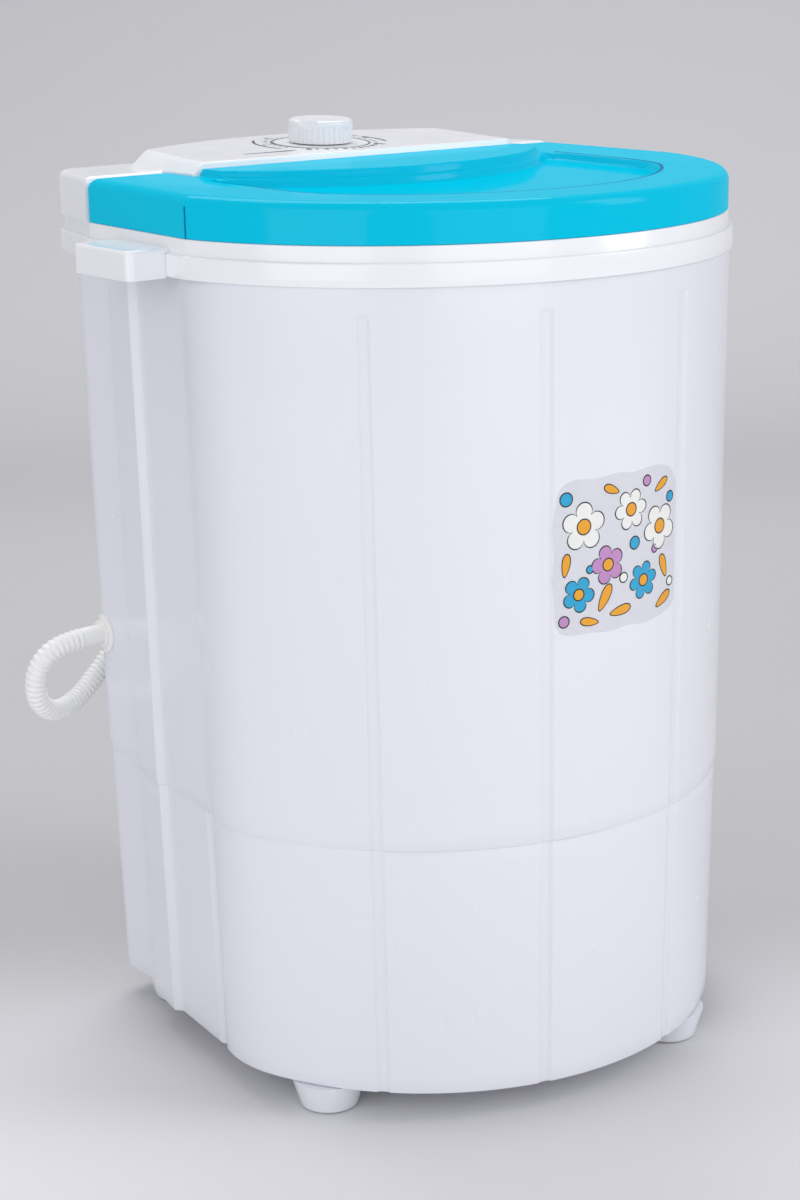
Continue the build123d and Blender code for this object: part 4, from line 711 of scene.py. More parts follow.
@dataclass
class Studio:
    """Pale floor that curves up into a backdrop, with painted shade along its depth, and softboxes round the
    machine.
    """

    floor_near: float = -2200.0
    floor_far: float = 2600.0
    floor_drop: float = 0.4
    half_width: float = 3600.0
    wall_height: float = 2600.0
    curve_radius: float = 900.0
    curve_steps: int = 16
    world: Colour = (0.82, 0.83, 0.85)
    world_strength: float = 0.62
    paper: Colour = (0.84, 0.834, 0.864)
    paper_shade: Colour = (0.816, 0.81, 0.84)
    tone_from: float = -500.0
    tone_run: float = 3000.0
    # Painted shade along the depth: darkest just behind the machine, where its shadow falls, and lighter in
    # front and far up the backdrop.
    painted_shade_stops: tuple[Point2, ...] = (
        (-500.0, 0.95), (-233.0, 0.93), (-100.0, 0.85), (150.0, 0.6), (600.0, 0.65), (1421.0, 0.72),
        (2300.0, 0.92),
    )
    boxes: list[Softbox] = field(default_factory=lambda: [
        Softbox("key_right", (1250.0, -1500.0, 1250.0), (0.0, -60.0, 280.0), 0.7, 1.6, 13.0),
        Softbox("fill_left", (-1900.0, -600.0, 900.0), (0.0, 0.0, 260.0), 1.4, 1.6, 10.0),
        Softbox("front_fill", (-500.0, -2300.0, 900.0), (0.0, 0.0, 250.0), 1.8, 1.8, 10.2),
        Softbox("top_back", (300.0, 900.0, 1900.0), (0.0, 0.0, 450.0), 1.6, 1.0, 18.0),
    ])

    @staticmethod
    def _ahead() -> Vector:
        """Level direction from the photograph's viewpoint to the backdrop."""
        yaw = math.radians(VIEW_YAW)
        return Vector((math.sin(yaw), math.cos(yaw), 0.0))

    def _profile(self) -> list[Point2]:
        """Side view of the sweep, from near the camera to the wall's top."""
        points = [(self.floor_near, 0.0)]
        for i in range(self.curve_steps + 1):
            angle = math.radians(90 * i / self.curve_steps)
            points.append((
                self.floor_far - self.curve_radius + self.curve_radius * math.sin(angle),
                self.curve_radius * (1 - math.cos(angle)),
            ))
        points.append((self.floor_far, self.wall_height))
        return points

    def _sweep(self) -> bpy.types.Object:
        """Build the floor and backdrop across the line of sight."""
        ahead = self._ahead()
        across = Vector((ahead.y, -ahead.x, 0.0))
        profile = self._profile()
        verts = [
            (ahead * along + across * side) * MM + Vector((0, 0, (up - self.floor_drop) * MM))
            for along, up in profile for side in (-self.half_width, self.half_width)
        ]
        faces = [(2 * i, 2 * i + 1, 2 * i + 3, 2 * i + 2) for i in range(len(profile) - 1)]
        mesh = bpy.data.meshes.new("studio_sweep")
        mesh.from_pydata([tuple(v) for v in verts], [], faces)
        shade_smooth(mesh)
        sweep = bpy.data.objects.new("studio_sweep", mesh)
        bpy.context.scene.collection.objects.link(sweep)
        return sweep

    def _painted_depth_shade(self, net: Net, colour: bpy.types.NodeSocket) -> bpy.types.NodeSocket:
        """Paint shade on the paper by its depth behind the machine: a painted shadow round and just behind
        it, lighter paper in front and far off.

        Args:
            net: The paper's nodes.
            colour: The paper's colour.

        Returns:
            The shaded colour.
        """
        depth = net.add("ShaderNodeVectorMath")
        depth.operation = "DOT_PRODUCT"
        depth.inputs[1].default_value = self._ahead()
        net.link(net.add("ShaderNodeNewGeometry").outputs["Position"], depth.inputs[0])
        share = net.over(depth.outputs["Value"], self.tone_from * MM, 1 / (self.tone_run * MM))
        ramp = net.add("ShaderNodeValToRGB")
        ramp.color_ramp.interpolation = "EASE"
        stops = [((at - self.tone_from) / self.tone_run, tone) for at, tone in self.painted_shade_stops]
        for at, _ in stops[1:-1]:
            ramp.color_ramp.elements.new(at)
        for element, (at, tone) in zip(ramp.color_ramp.elements, stops):
            element.position = at
            element.color = (tone, tone, tone, 1.0)
        net.link(share, ramp.inputs["Fac"])
        product = net.add("ShaderNodeVectorMath")
        product.operation = "MULTIPLY"
        net.link(colour, product.inputs[0])
        net.link(ramp.outputs["Color"], product.inputs[1])
        return product.outputs["Vector"]

    def build(self) -> None:
        """Build the sweep, the lamps and the even surrounding light."""
        sweep = self._sweep()
        material, net, shader = new_material("studio_paper")
        skin = net.group(GROUPS.get(Group.SKIN), {
            "Color": self.paper, "Shade": self.paper_shade, "Tone Scale": 0.6,
            "Roughness": 0.8, "Grain Scale": 200.0,
        })
        net.link(self._painted_depth_shade(net, skin.outputs["Color"]), shader.inputs["Base Color"])
        net.link(skin.outputs["Roughness"], shader.inputs["Roughness"])
        shader.inputs["Specular IOR Level"].default_value = 0.15
        dress(sweep, material)
        for box in self.boxes:
            box.build()
        world = bpy.data.worlds.new("studio_light")
        world.use_nodes = True
        background = world.node_tree.nodes["Background"]
        background.inputs["Color"].default_value = (*self.world, 1.0)
        background.inputs["Strength"].default_value = self.world_strength
        bpy.context.scene.world = world
        bpy.context.scene.view_settings.view_transform = "Standard"


@dataclass
class DrainHose:
    """The white ribbed hose: out of the left wall, down and round behind, then up between two clips."""

    route: tuple[Point3, ...] = (
        (-151.579, 128.0, 238.0), (-178.5, 128.0, 238.0), (-193.6, 132.0, 225.5), (-193.8, 137.5, 204.0),
        (-179.5, 145.0, 189.0), (-159.0, 154.5, 188.5), (-139.5, 160.5, 200.0), (-122.0, 159.0, 220.0),
        (-108.0, 156.5, 246.0), (-98.0, 156.0, 280.0), (-94.0, 157.0, 318.0), (-96.0, 156.5, 356.0),
        (-92.0, 157.0, 392.0), (-83.0, 157.5, 424.0),
    )
    radius: float = 6.5
    rib: float = 0.9
    rib_round: float = 0.7
    pitch: float = 3.4
    plain_end: float = 13.0
    bore: float = 4.2
    around: int = 28
    per_rib: int = 10
    bore_rings: int = 160
    line_steps: int = 64

    def _line(self) -> list[Vector]:
        """Read the route's smooth line from a spline with no bevel."""
        data = bpy.data.curves.new("hose_line", "CURVE")
        data.dimensions = "3D"
        data.resolution_u = self.line_steps
        spline = data.splines.new("NURBS")
        spline.points.add(len(self.route) - 1)
        for knot, point in zip(spline.points, self.route):
            knot.co = (*place(*point), 1.0)
        spline.order_u = 3
        spline.use_endpoint_u = True
        line = bpy.data.objects.new("hose_line", data)
        bpy.context.scene.collection.objects.link(line)
        bpy.context.view_layer.update()
        mesh = bpy.data.meshes.new_from_object(line.evaluated_get(bpy.context.evaluated_depsgraph_get()))
        points = [v.co.copy() for v in mesh.vertices]
        bpy.data.meshes.remove(mesh)
        bpy.data.objects.remove(line)
        bpy.data.curves.remove(data)
        return points

    @staticmethod
    def _walk(points: list[Vector]) -> tuple[list[float], float]:
        """Give each point's distance along the line, and the whole length."""
        run = [0.0]
        for a, b in zip(points, points[1:]):
            run.append(run[-1] + (b - a).length)
        return run, run[-1]

    @staticmethod
    def _at(points: list[Vector], run: list[float], s: float) -> tuple[Vector, Vector]:
        """Give the point and direction at a distance along the line."""
        low, high = 0, len(run) - 1
        while high - low > 1:
            middle = (low + high) // 2
            if run[middle] <= s:
                low = middle
            else:
                high = middle
        a, b = points[low], points[high]
        span = run[high] - run[low]
        share = 0.0 if span == 0 else min(1.0, max(0.0, (s - run[low]) / span))
        before = points[max(low - 1, 0)]
        after = points[min(high + 1, len(points) - 1)]
        return a.lerp(b, share), ((b - before).lerp(after - a, share)).normalized()

    def _radius_at(self, s: float, length: float) -> float:
        """Outer radius at a distance along the hose, in millimetres."""
        inner = self.radius - self.rib
        from_end = min(s, length - s)
        if from_end < self.plain_end:
            return inner + self.rib * 0.5
        phase = ((s - self.plain_end) % self.pitch) / self.pitch
        wave = 0.5 - 0.5 * math.cos(2 * math.pi * phase)
        return inner + self.rib * wave ** self.rib_round

    def _rings(self, points: list[Vector], stations: int, radius_at: Callable[[float], float]) -> list[Row]:
        """Rings across the line, each turned as little as possible from the one before.

        Args:
            points: The line's points.
            stations: Number of steps along the line.
            radius_at: Radius at a distance along the line, both in millimetres.

        Returns:
            The rings.
        """
        run, length = self._walk(points)
        turns = [2 * math.pi * k / self.around for k in range(self.around)]
        across = Vector((0, 0, 1))
        rows: list[Row] = []
        for i in range(stations + 1):
            s = length / MM * i / stations
            spot, ahead = self._at(points, run, s * MM)
            across = (across - ahead * across.dot(ahead)).normalized()
            up = ahead.cross(across)
            radius = radius_at(s) * MM
            rows.append([spot + radius * (math.cos(a) * across + math.sin(a) * up) for a in turns])
        return rows

    def build(self) -> bpy.types.Object:
        """Returns:
            The hose object.
        """
        points = self._line()
        length = self._walk(points)[1]
        length_mm = length / MM
        stations = int(length_mm / self.pitch * self.per_rib)
        outside = self._rings(points, stations, lambda s: self._radius_at(s, length_mm))
        inside = self._rings(points, self.bore_rings, lambda s: self.bore)
        hose = link_mesh("ribbed_drain_hose", *join_rows(outside + inside[::-1], tube=True))
        dress_piece(hose, Body.CABINET, Slot.HOSE)
        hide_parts("drain_hose")
        log.info("hose length %.4f m", length)
        return hose


class CreaseSmoother:
    """Geometry nodes that shade a CAD solid smooth and keep its real edges crisp."""

    def __init__(self, degrees: float = 28.0, weld: float = 2e-6) -> None:
        """Keep the angle over which an edge stays crisp, and how close points are welded."""
        self.degrees = degrees
        self.weld = weld
        self.tree: bpy.types.NodeTree | None = None

    def _build(self) -> bpy.types.NodeTree:
        """Build the shared node tree.

        Returns:
            The geometry node tree.
        """
        tree = bpy.data.node_groups.new("crease_smoother", "GeometryNodeTree")
        tree.interface.new_socket("Geometry", in_out="INPUT", socket_type="NodeSocketGeometry")
        tree.interface.new_socket("Geometry", in_out="OUTPUT", socket_type="NodeSocketGeometry")
        net = Net(tree)
        given, out = net.add("NodeGroupInput"), net.add("NodeGroupOutput")
        bare = net.add("GeometryNodeRemoveAttribute")
        bare.inputs["Name"].default_value = "custom_normal"
        weld = net.add("GeometryNodeMergeByDistance")
        weld.inputs["Distance"].default_value = self.weld
        faces = net.add("GeometryNodeSetShadeSmooth")
        faces.domain = "FACE"
        edges = net.add("GeometryNodeSetShadeSmooth")
        edges.domain = "EDGE"
        edges.inputs["Shade Smooth"].default_value = False
        angle = net.add("GeometryNodeInputMeshEdgeAngle")
        over = net.add("FunctionNodeCompare")
        over.operation = "GREATER_THAN"
        over.inputs[1].default_value = math.radians(self.degrees)
        net.link(angle.outputs["Unsigned Angle"], over.inputs[0])
        net.link(over.outputs["Result"], edges.inputs["Selection"])
        net.link(given.outputs["Geometry"], bare.inputs["Geometry"])
        net.link(bare.outputs["Geometry"], weld.inputs["Geometry"])
        net.link(weld.outputs["Geometry"], faces.inputs["Geometry"])
        net.link(faces.outputs["Geometry"], edges.inputs["Geometry"])
        net.link(edges.outputs["Geometry"], out.inputs["Geometry"])
        return tree

    def smooth(self, piece: bpy.types.Object) -> None:
        """Add the smoothing to a piece."""
        if self.tree is None:
            self.tree = self._build()
        piece.modifiers.new("crease_smoother", "NODES").node_group = self.tree
        weighted = piece.modifiers.new("even_normals", "WEIGHTED_NORMAL")
        weighted.keep_sharp = True
        weighted.weight = 50


class CarriedNodes:
    """Dresses every piece that is shown as its CAD solid."""

    def __init__(self) -> None:
        """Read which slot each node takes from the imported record."""
        self.slots: dict[str, Slot] = {
            part["node"]: Slot(part["material_slot"]) for part in frame["record"]["subparts"]
        }

    def dress_all(self) -> None:
        """Dress each node of the frame in its slot's finish and shade it smooth."""
        smoother = CreaseSmoother()
        for name, piece in frame["nodes"].items():
            slot = self.slots.get(name, Slot.SHELL)
            dress(piece, WARDROBE.slot(slot))
            smoother.smooth(piece)
            log.info("node %s in %s", name, slot.value)


def arc_through(a: Point2, b: Point2, c: Point2, count: int) -> list[Point2]:
    """Points along the arc from a through b to c.

    Args:
        a: Start of the arc.
        b: A point on the arc.
        c: End of the arc.
        count: Number of steps along the arc.

    Returns:
        The points, with both ends.
    """
    ax, ay = a[0] - b[0], a[1] - b[1]
    cx, cy = c[0] - b[0], c[1] - b[1]
    d = 2 * (ax * cy - ay * cx)
    if abs(d) < 1e-9:
        return straight(a, c, count) + [c]
    ux = (cy * (ax * ax + ay * ay) - ay * (cx * cx + cy * cy)) / d + b[0]
    uy = (ax * (cx * cx + cy * cy) - cx * (ax * ax + ay * ay)) / d + b[1]
    radius = math.hypot(a[0] - ux, a[1] - uy)
    start = math.atan2(a[1] - uy, a[0] - ux)
    middle = (math.atan2(b[1] - uy, b[0] - ux) - start) % (2 * math.pi)
    end = (math.atan2(c[1] - uy, c[0] - ux) - start) % (2 * math.pi)
    if middle > end:
        end -= 2 * math.pi
    return [
        (ux + radius * math.cos(start + end * i / count), uy + radius * math.sin(start + end * i / count))
        for i in range(count + 1)
    ]


def straight(a: Point2, b: Point2, count: int) -> list[Point2]:
    """Split the way from a to b into equal steps, and leave b itself out."""
    return [(a[0] + (b[0] - a[0]) * k / count, a[1] + (b[1] - a[1]) * k / count) for k in range(count)]


def front_arc(radius: float, degrees: float, count: int) -> list[Point2]:
    """Points round the front from its middle to the right, and the end of the arc left out."""
    end = math.radians(degrees)
    return [(radius * math.sin(end * i / count), -radius * math.cos(end * i / count)) for i in range(count)]


def front_end(radius: float, degrees: float) -> Point2:
    """Right end of the arc round the front."""
    end = math.radians(degrees)
    return radius * math.sin(end), -radius * math.cos(end)


def round_corner(before: Point2, corner: Point2, after: Point2, radius: float, steps: int) -> list[Point2]:
    """Give the arc that rounds a corner.

    Args:
        before: The corner before it.
        corner: The corner itself.
        after: The corner after it.
        radius: Radius of the arc.
        steps: Steps round it.

    Returns:
        The arc's points, with both ends.
    """
    p = Vector(corner)
    u, v = (Vector(before) - p).normalized(), (Vector(after) - p).normalized()
    half = math.acos(max(-1.0, min(1.0, u.dot(v)))) / 2
    reach = radius / math.tan(half)
    start, end = p + u * reach, p + v * reach
    centre = p + (u + v).normalized() * (radius / math.sin(half))
    first = math.atan2(start.y - centre.y, start.x - centre.x)
    turn = (math.atan2(end.y - centre.y, end.x - centre.x) - first + math.pi) % (2 * math.pi) - math.pi
    turns = [first + turn * k / steps for k in range(steps + 1)]
    return [(centre.x + radius * math.cos(a), centre.y + radius * math.sin(a)) for a in turns]


def cornered(corners: Sequence[Point2], bends: Sequence[tuple[float, int, int]], last: int) -> list[Point2]:
    """Run from the first corner to the last, with its bends rounded and its edges split.

    Args:
        corners: The corners, with both ends.
        bends: For each corner between the ends, its radius, its steps and those on the edge before it.
        last: Steps on the last edge.

    Returns:
        The points, with both ends.
    """
    out: list[Point2] = []
    start = corners[0]
    for i, (radius, turns, steps) in enumerate(bends, 1):
        part = [corners[i]]
        if radius > 0:
            part = round_corner(*corners[i - 1:i + 2], radius, turns)
        out += straight(start, part[0], steps) + part[:-1]
        start = part[-1]
    return out + straight(start, corners[-1], last) + [corners[-1]]


def mirrored(right_half: Sequence[Point2]) -> list[Point2]:
    """Close an outline from its right half, which runs from the front middle to the rear middle."""
    left = [(-x, y) for x, y in reversed(right_half) if abs(x) > 1e-6]
    return list(right_half) + left


@dataclass(frozen=True)
class BodyPlan:
    """The drafted D-shaped body: its plan at the seam and how it grows with height."""

    front_r: float = 173.85
    half_angle: float = 70.0
    bulge: Point2 = (168.0, -34.5)
    crease: Point2 = (163.8, -9.0)
    panel_end: Point2 = (157.5, 47.5)
    ridge: Point2 = (161.0, 51.5)
    ridge_end: Point2 = (154.8, 84.5)
    rear_side: Point2 = (147.2, 88.5)
    rear_y: float = 141.8
    corner_r: float = 16.0
    ridge_radii: tuple[float, ...] = (1.2, 1.4, 1.6, 1.6)
    seam_z: float = 163.6
    top_z: float = 476.0
    bottom_z: float = 17.8
    step: float = 0.45
    top_flare: float = 4.35
    bottom_draw: float = 3.75
    front_steps: int = 260
    side_steps: int = 40
    rear_steps: int = 60

    def grow(self, z: float, upper: bool) -> float:
        """Give how far the body stands out from its seam outline.

        Args:
            z: Height over the floor.
            upper: Whether the casing is meant, or the base below it.

        Returns:
            The growth in millimetres.
        """
        if upper:
            share = (z - self.seam_z) / (self.top_z - self.seam_z)
            return self.step + (self.top_flare - self.step) * share
        share = (self.seam_z - z) / (self.seam_z - self.bottom_z)
        return -self.step - (self.bottom_draw - self.step) * share

    def half_outline(self, grow: float) -> list[Point2]:
        """Right half of the outline, from the front middle round to the rear middle.

        Args:
            grow: How far it is pushed outward.

        Returns:
            The points, in the same number for every growth.
        """
        front = front_arc(self.front_r + grow, self.half_angle, self.front_steps)
        knee = front_end(self.front_r + grow, self.half_angle)
        crease = (self.crease[0] + grow, self.crease[1])
        side = arc_through(knee, (self.bulge[0] + grow, self.bulge[1]), crease, self.side_steps)[:-1]
        back_y = self.rear_y + grow
        corners = [crease] + [
            (x + grow, y) for x, y in (self.panel_end, self.ridge, self.ridge_end, self.rear_side)
        ] + [(self.rear_side[0] + grow, back_y), (0.0, back_y)]
        bends = list(zip((*self.ridge_radii, self.corner_r + grow), (5, 5, 5, 5, 14), (26, 3, 14, 4, 18)))
        return front + side + cornered(corners, bends, self.rear_steps)


PLAN = BodyPlan()


@dataclass(frozen=True)
class Flutes:
    """Shallow flutes with soft sloped sides, pressed into the round front."""

    angles: tuple[float, ...] = (-46.8, -15.6, 15.6, 46.8)
    width: float = 7.6
    depth: float = 1.1
    slope: float = 1.8
    spread: float = 0.3

    def depth_at(self, angle: float, radius: float, fade: float) -> float:
        """Give how deep the wall lies below the outline.

        Args:
            angle: Degrees from straight ahead.
            radius: Radius of the front there.
            fade: 1 along the flute, going to 0 at its end.

        Returns:
            The depth in millimetres.
        """
        edge = self.width / 2 + self.spread
        for middle in self.angles:
            along = abs(math.radians(angle - middle)) * radius
            if along < edge:
                return self.depth * fade * smooth_step(edge, edge - self.slope, along)
        return 0.0


@dataclass
class ShellSkin:
    """Builds the rings of the casing's or the base's outer skin, with its flutes and crease grooves."""

    plan: BodyPlan
    flutes: Flutes
    upper: bool
    crease_back: float = 0.2
    crease_half: float = 4.5
    crease_floor: float = 2.2

    def _inward(self, points: list[Point2]) -> list[Vector]:
        """Give the direction straight into the body at each point of a closed outline."""
        out: list[Vector] = []
        count = len(points)
        for i in range(count):
            a, b = points[i - 1], points[(i + 1) % count]
            along = Vector((b[0] - a[0], b[1] - a[1], 0))
            out.append(Vector((-along.y, along.x, 0)).normalized())
        return out

    def ring(self, z: float, tuck: float, fade: float, groove: float) -> Row:
        """One closed ring of the skin.

        Args:
            z: Height over the floor.
            tuck: How far the ring lies inside the drafted outside.
            fade: Share of the flutes' depth here.
            groove: Depth of the crease groove here.

        Returns:
            The ring's points in the frame.
        """
        outline = mirrored(self.plan.half_outline(self.plan.grow(z, self.upper)))
        inward = self._inward(outline)
        row: Row = []
        for (x, y), into in zip(outline, inward):
            depth = tuck
            if y < 0:
                angle = math.degrees(math.atan2(x, -y))
                depth += self.flutes.depth_at(angle, math.hypot(x, y), fade)
                depth += groove * self._crease(y)
            row.append(place(x + into.x * depth, y + into.y * depth, z))
        return row

    def _crease(self, y: float) -> float:
        """Share of the crease groove's depth at a place along Y."""
        middle = self.plan.crease[1] - self.crease_back
        return smooth_step(self.crease_half, self.crease_floor, abs(y - middle))


@dataclass
class UpperCasing:
    """The tall white casing over the seam, with four flutes down its round front."""

    wall: float = 2.6
    window_x: Point2 = (-46.0, 86.0)
    window_z: Point2 = (196.0, 316.0)
    window_in: float = 4.0
    window_out: float = 8.0
    outlet: Point2 = (128.0, 238.0)
    outlet_r: float = 8.5
    outlet_x: Point2 = (-165.0, -138.0)
    flute_top: float = 457.0
    fade_run: float = 6.0
    fade_high: float = 0.6
    fade_low: float = 3.2
    fade_steps: int = 8
    side_steps: int = 34
    edge: float = 0.7
    top_edge: float = 0.4
    inner_margin: float = 20.0

    def build(self) -> bpy.types.Object:
        """Build the casing's shell.

        Returns:
            The casing object.
        """
        skin = ShellSkin(PLAN, Flutes(), True)
        low, high = PLAN.seam_z, PLAN.top_z
        rows: list[Row] = []
        for tuck, lift in ((self.edge, 0.0), (self.edge * 0.3, self.edge * 0.3), (0.0, self.edge)):
            rows.append(skin.ring(low + lift, tuck, 1.0, 0.0))
        for i in range(1, self.side_steps):
            z = low + self.edge + (self.flute_top - self.fade_run - low - self.edge) * i / self.side_steps
            rows.append(skin.ring(z, 0.0, 1.0, 0.0))
        for i in range(self.fade_steps + 1):
            z = self.flute_top - self.fade_run + (self.fade_run + 1) * i / self.fade_steps
            fade = smooth_step(self.flute_top + self.fade_high, self.flute_top - self.fade_low, z)
            rows.append(skin.ring(z, 0.0, fade, 0.0))
        for z, tuck in ((high - self.top_edge, 0.0), (high, self.top_edge), (high, self.wall)):
            rows.append(skin.ring(z, tuck, 0.0, 0.0))
        for z in (high - self.inner_margin, low + self.inner_margin, low):
            rows.append(skin.ring(z, self.wall, 0.0, 0.0))
        casing = link_mesh("upper_casing_shell", *join_rows(rows, tube=True))
        window_y = (PLAN.rear_y - self.window_in, PLAN.rear_y + self.window_out)
        cut_boxes(casing, [(self.window_x, window_y, self.window_z)])
        cut_with(casing, *rod(
            lambda u, v, along: (along, self.outlet[0] + u, self.outlet[1] + v), self.outlet_r, self.outlet_x,
        ))
        dress_piece(casing, Body.CABINET, Slot.SHELL)
        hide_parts("upper_casing")
        return casing


@dataclass
class BaseHousing:
    """The white base below the seam: flutes, crease grooves and a floor with a round service opening."""

    wall: float = 2.6
    rebate: float = 2.2
    edge: float = 0.7
    groove: float = 1.4
    bottom_edge: float = 1.2
    bottom_round: float = 0.35
    side_steps: int = 18
    floor_z: float = 21.0
    service_r: float = 62.0
    gland: Point2 = (96.0, 62.0)
    gland_r: float = 5.6
    gland_y: Point2 = (130.0, 150.0)

    def _opening(self, z: float) -> Row:
        """Ring of the round service opening in the floor, one point for each point of the outline."""
        outline = mirrored(PLAN.half_outline(PLAN.grow(PLAN.bottom_z, False)))
        return [place(self.service_r * x / math.hypot(x, y), self.service_r * y / math.hypot(x, y), z)
                for x, y in outline]

    def build(self) -> bpy.types.Object:
        """Build the base's shell.

        Returns:
            The base object.
        """
        skin = ShellSkin(PLAN, Flutes(), False)
        low, high = PLAN.bottom_z, PLAN.seam_z
        rows: list[Row] = [self._opening(self.floor_z), self._opening(low)]
        for lift, tuck in (
            (0.0, self.bottom_edge), (self.bottom_round, self.bottom_round), (self.bottom_edge, 0.0),
        ):
            rows.append(skin.ring(low + lift, tuck, 1.0, self.groove))
        for i in range(1, self.side_steps + 1):
            z = low + self.bottom_edge + (high - self.edge - low - self.bottom_edge) * i / self.side_steps
            rows.append(skin.ring(z, 0.0, 1.0, self.groove))
        for drop, tuck in ((self.edge * 0.3, self.edge * 0.3), (0.0, self.edge)):
            rows.append(skin.ring(high - drop, tuck, 1.0, self.groove))
        for z in (high, self.floor_z):
            rows.append(skin.ring(z, self.wall + self.rebate, 0.0, 0.0))
        base = link_mesh("base_housing_shell", *join_rows(rows, tube=True))
        cut_with(base, *rod(
            lambda u, v, along: (self.gland[0] + u, along, self.gland[1] + v), self.gland_r, self.gland_y,
        ))
        dress_piece(base, Body.CABINET, Slot.SHELL)
        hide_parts("base_housing")
        return base


def sharpen(piece: bpy.types.Object, degrees: float = CREASE_DEGREES) -> None:
    """Keep edges crisp that turn by more than an angle."""
    mesh = piece.data
    work = bmesh.new()
    work.from_mesh(mesh)
    limit = math.radians(degrees)
    for edge in work.edges:
        if len(edge.link_faces) == 2 and edge.calc_face_angle(0.0) > limit:
            edge.smooth = False
    work.to_mesh(mesh)
    work.free()


@dataclass(frozen=True)
class RimPlan:
    """Plan that the collar, the band and the lid share, behind one round front."""

    front_r: float = 177.3
    half_angle: float = 81.0
    side_end: Point2 = (168.1, 85.0)
    taper_end: Point2 = (156.5, 130.0)
    rear_corner: Point2 = (152.5, 148.0)
    side_bend: float = 10.0
    corner_r: float = 16.0
    least_r: float = 2.0
    front_steps: int = 180
    rear_steps: int = 40

    def half_outline(self, grow: float) -> list[Point2]:
        """Right half of the outline, from the front middle round to the rear middle.

        Args:
            grow: How far it is pushed outward.

        Returns:
            The points, in the same number for every growth.
        """
        back_y = self.rear_corner[1] + grow
        corners = [
            front_end(self.front_r + grow, self.half_angle), (self.side_end[0] + grow, self.side_end[1]),
            (self.taper_end[0] + grow, self.taper_end[1]), (self.rear_corner[0] + grow, back_y),
            (0.0, back_y),
        ]
        bends = [(self.side_bend, 6, 40), (0.0, 0, 14), (max(self.corner_r + grow, self.least_r), 18, 3)]
        front = front_arc(self.front_r + grow, self.half_angle, self.front_steps)
        return front + cornered(corners, bends, self.rear_steps)


RIM = RimPlan()


@dataclass
class TopRim:
    """Band round the top of the casing and the collar over it, with the deck and the round mouth."""

    band_low: float = 470.4
    band_high: float = 482.8
    band_proud: float = 2.7
    band_foot: float = 0.5
    band_straight: float = 4.0
    seat_out: float = 1.2
    collar_high: float = 491.4
    collar_wall: float = 3.0
    collar_round: float = 0.6
    collar_edge: float = 0.5
    collar_foot: tuple[Point2, ...] = ((0.45, 0.0), (0.1, 0.12), (0.0, 0.5))
    deck: float = 479.4
    mouth_r: float = 131.5
    mouth_back: float = 44.0
    mouth_high: float = 488.4
    mouth_low: float = 464.0
    mouth_round: float = 0.4
    lip: float = 2.2
    edge: float = 1.1

    def _profile(self) -> list[Point2]:
        """Outer growth and height of each ring, from the band's inner foot over the collar to the deck."""
        proud, top, wall, soft = self.band_proud, self.collar_high, self.collar_wall, self.collar_round
        rows = [(self.seat_out, PLAN.top_z), (self.seat_out, self.band_low)]
        rows += self._bend(proud, self.band_low, self.band_foot, -1, 3)[::-1]
        rows += [(proud, self.band_low + self.band_straight), (proud, self.band_high - self.edge)]
        rows += self._bend(proud, self.band_high, self.edge, 1, 6)[1:]
        rows += [(out, self.band_high + up) for out, up in self.collar_foot]
        rows += [(0.0, top - soft), (-soft * 0.3, top - soft * 0.3), (-soft, top)]
        rows += [(-wall + self.collar_edge, top), (-wall, top - self.collar_edge)]
        rows += [(-wall, self.deck + soft), (-wall - soft, self.deck)]
        return rows

    @staticmethod
    def _bend(out: float, z: float, radius: float, upward: int, steps: int) -> list[Point2]:
        """Quarter round at an outer corner, from its upright face to its level one.

        Args:
            out: Growth of the upright face.
            z: Height of the level face.
            radius: Radius of the round.
            upward: 1 where the level face is on top, -1 where it is below.
            steps: Number of steps.

        Returns:
            Growth and height of each step.
        """
        turns = [math.radians(90 * i / steps) for i in range(steps + 1)]
        return [(out - radius + radius * math.cos(t), z - upward * radius + upward * radius * math.sin(t))
                for t in turns]

    def _mouth_point(self, inset: float, x: float, y: float) -> Point2:
        """Point of the mouth's outline in the direction of a point of the rim."""
        angle = math.atan2(y, x)
        r = self.mouth_r - inset
        back = self.mouth_back - inset
        cut = math.asin(back / r)
        if cut < angle < math.pi - cut:
            return back / math.tan(angle), back
        return r * math.cos(angle), r * math.sin(angle)

    def build(self) -> bpy.types.Object:
        """Build the rim.

        Returns:
            The rim object.
        """
        rows: list[Row] = []
        for grow, z in self._profile():
            rows.append([place(x, y, z) for x, y in mirrored(RIM.half_outline(grow))])
        outline = mirrored(RIM.half_outline(-self.collar_wall - self.collar_round))
        high, soft = self.mouth_high, self.mouth_round
        down = [(0.0, self.deck), (0.0, high - soft), (soft, high), (self.lip - soft, high),
                (self.lip, high - soft),
                (self.lip, self.mouth_low), (0.0, self.mouth_low), (0.0, PLAN.top_z)]
        for inset, z in down:
            rows.append([place(*self._mouth_point(inset, x, y), z) for x, y in outline])
        rim = link_mesh("top_rim_moulding", *join_rows(rows, tube=True))
        sharpen(rim, 50.0)
        dress_piece(rim, Body.CABINET, Slot.RIM)
        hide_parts("top_rim")
        return rim


def dense(points: Sequence[Point2], spacing: float) -> list[Point2]:
    """Split the edges of an open run that are longer than a spacing."""
    out: list[Point2] = []
    for a, b in zip(points, points[1:]):
        out += straight(a, b, max(1, math.ceil(math.hypot(b[0] - a[0], b[1] - a[1]) / spacing)))
    out.append(points[-1])
    return out


def arc_run(centre: Point2, radius: float, start: float, end: float, spacing: float) -> list[Point2]:
    """Points along an arc, angles in degrees anticlockwise from +X."""
    count = max(2, math.ceil(abs(math.radians(end - start)) * radius / spacing))
    turns = (math.radians(start + (end - start) * i / count) for i in range(count + 1))
    return [(centre[0] + radius * math.cos(t), centre[1] + radius * math.sin(t)) for t in turns]


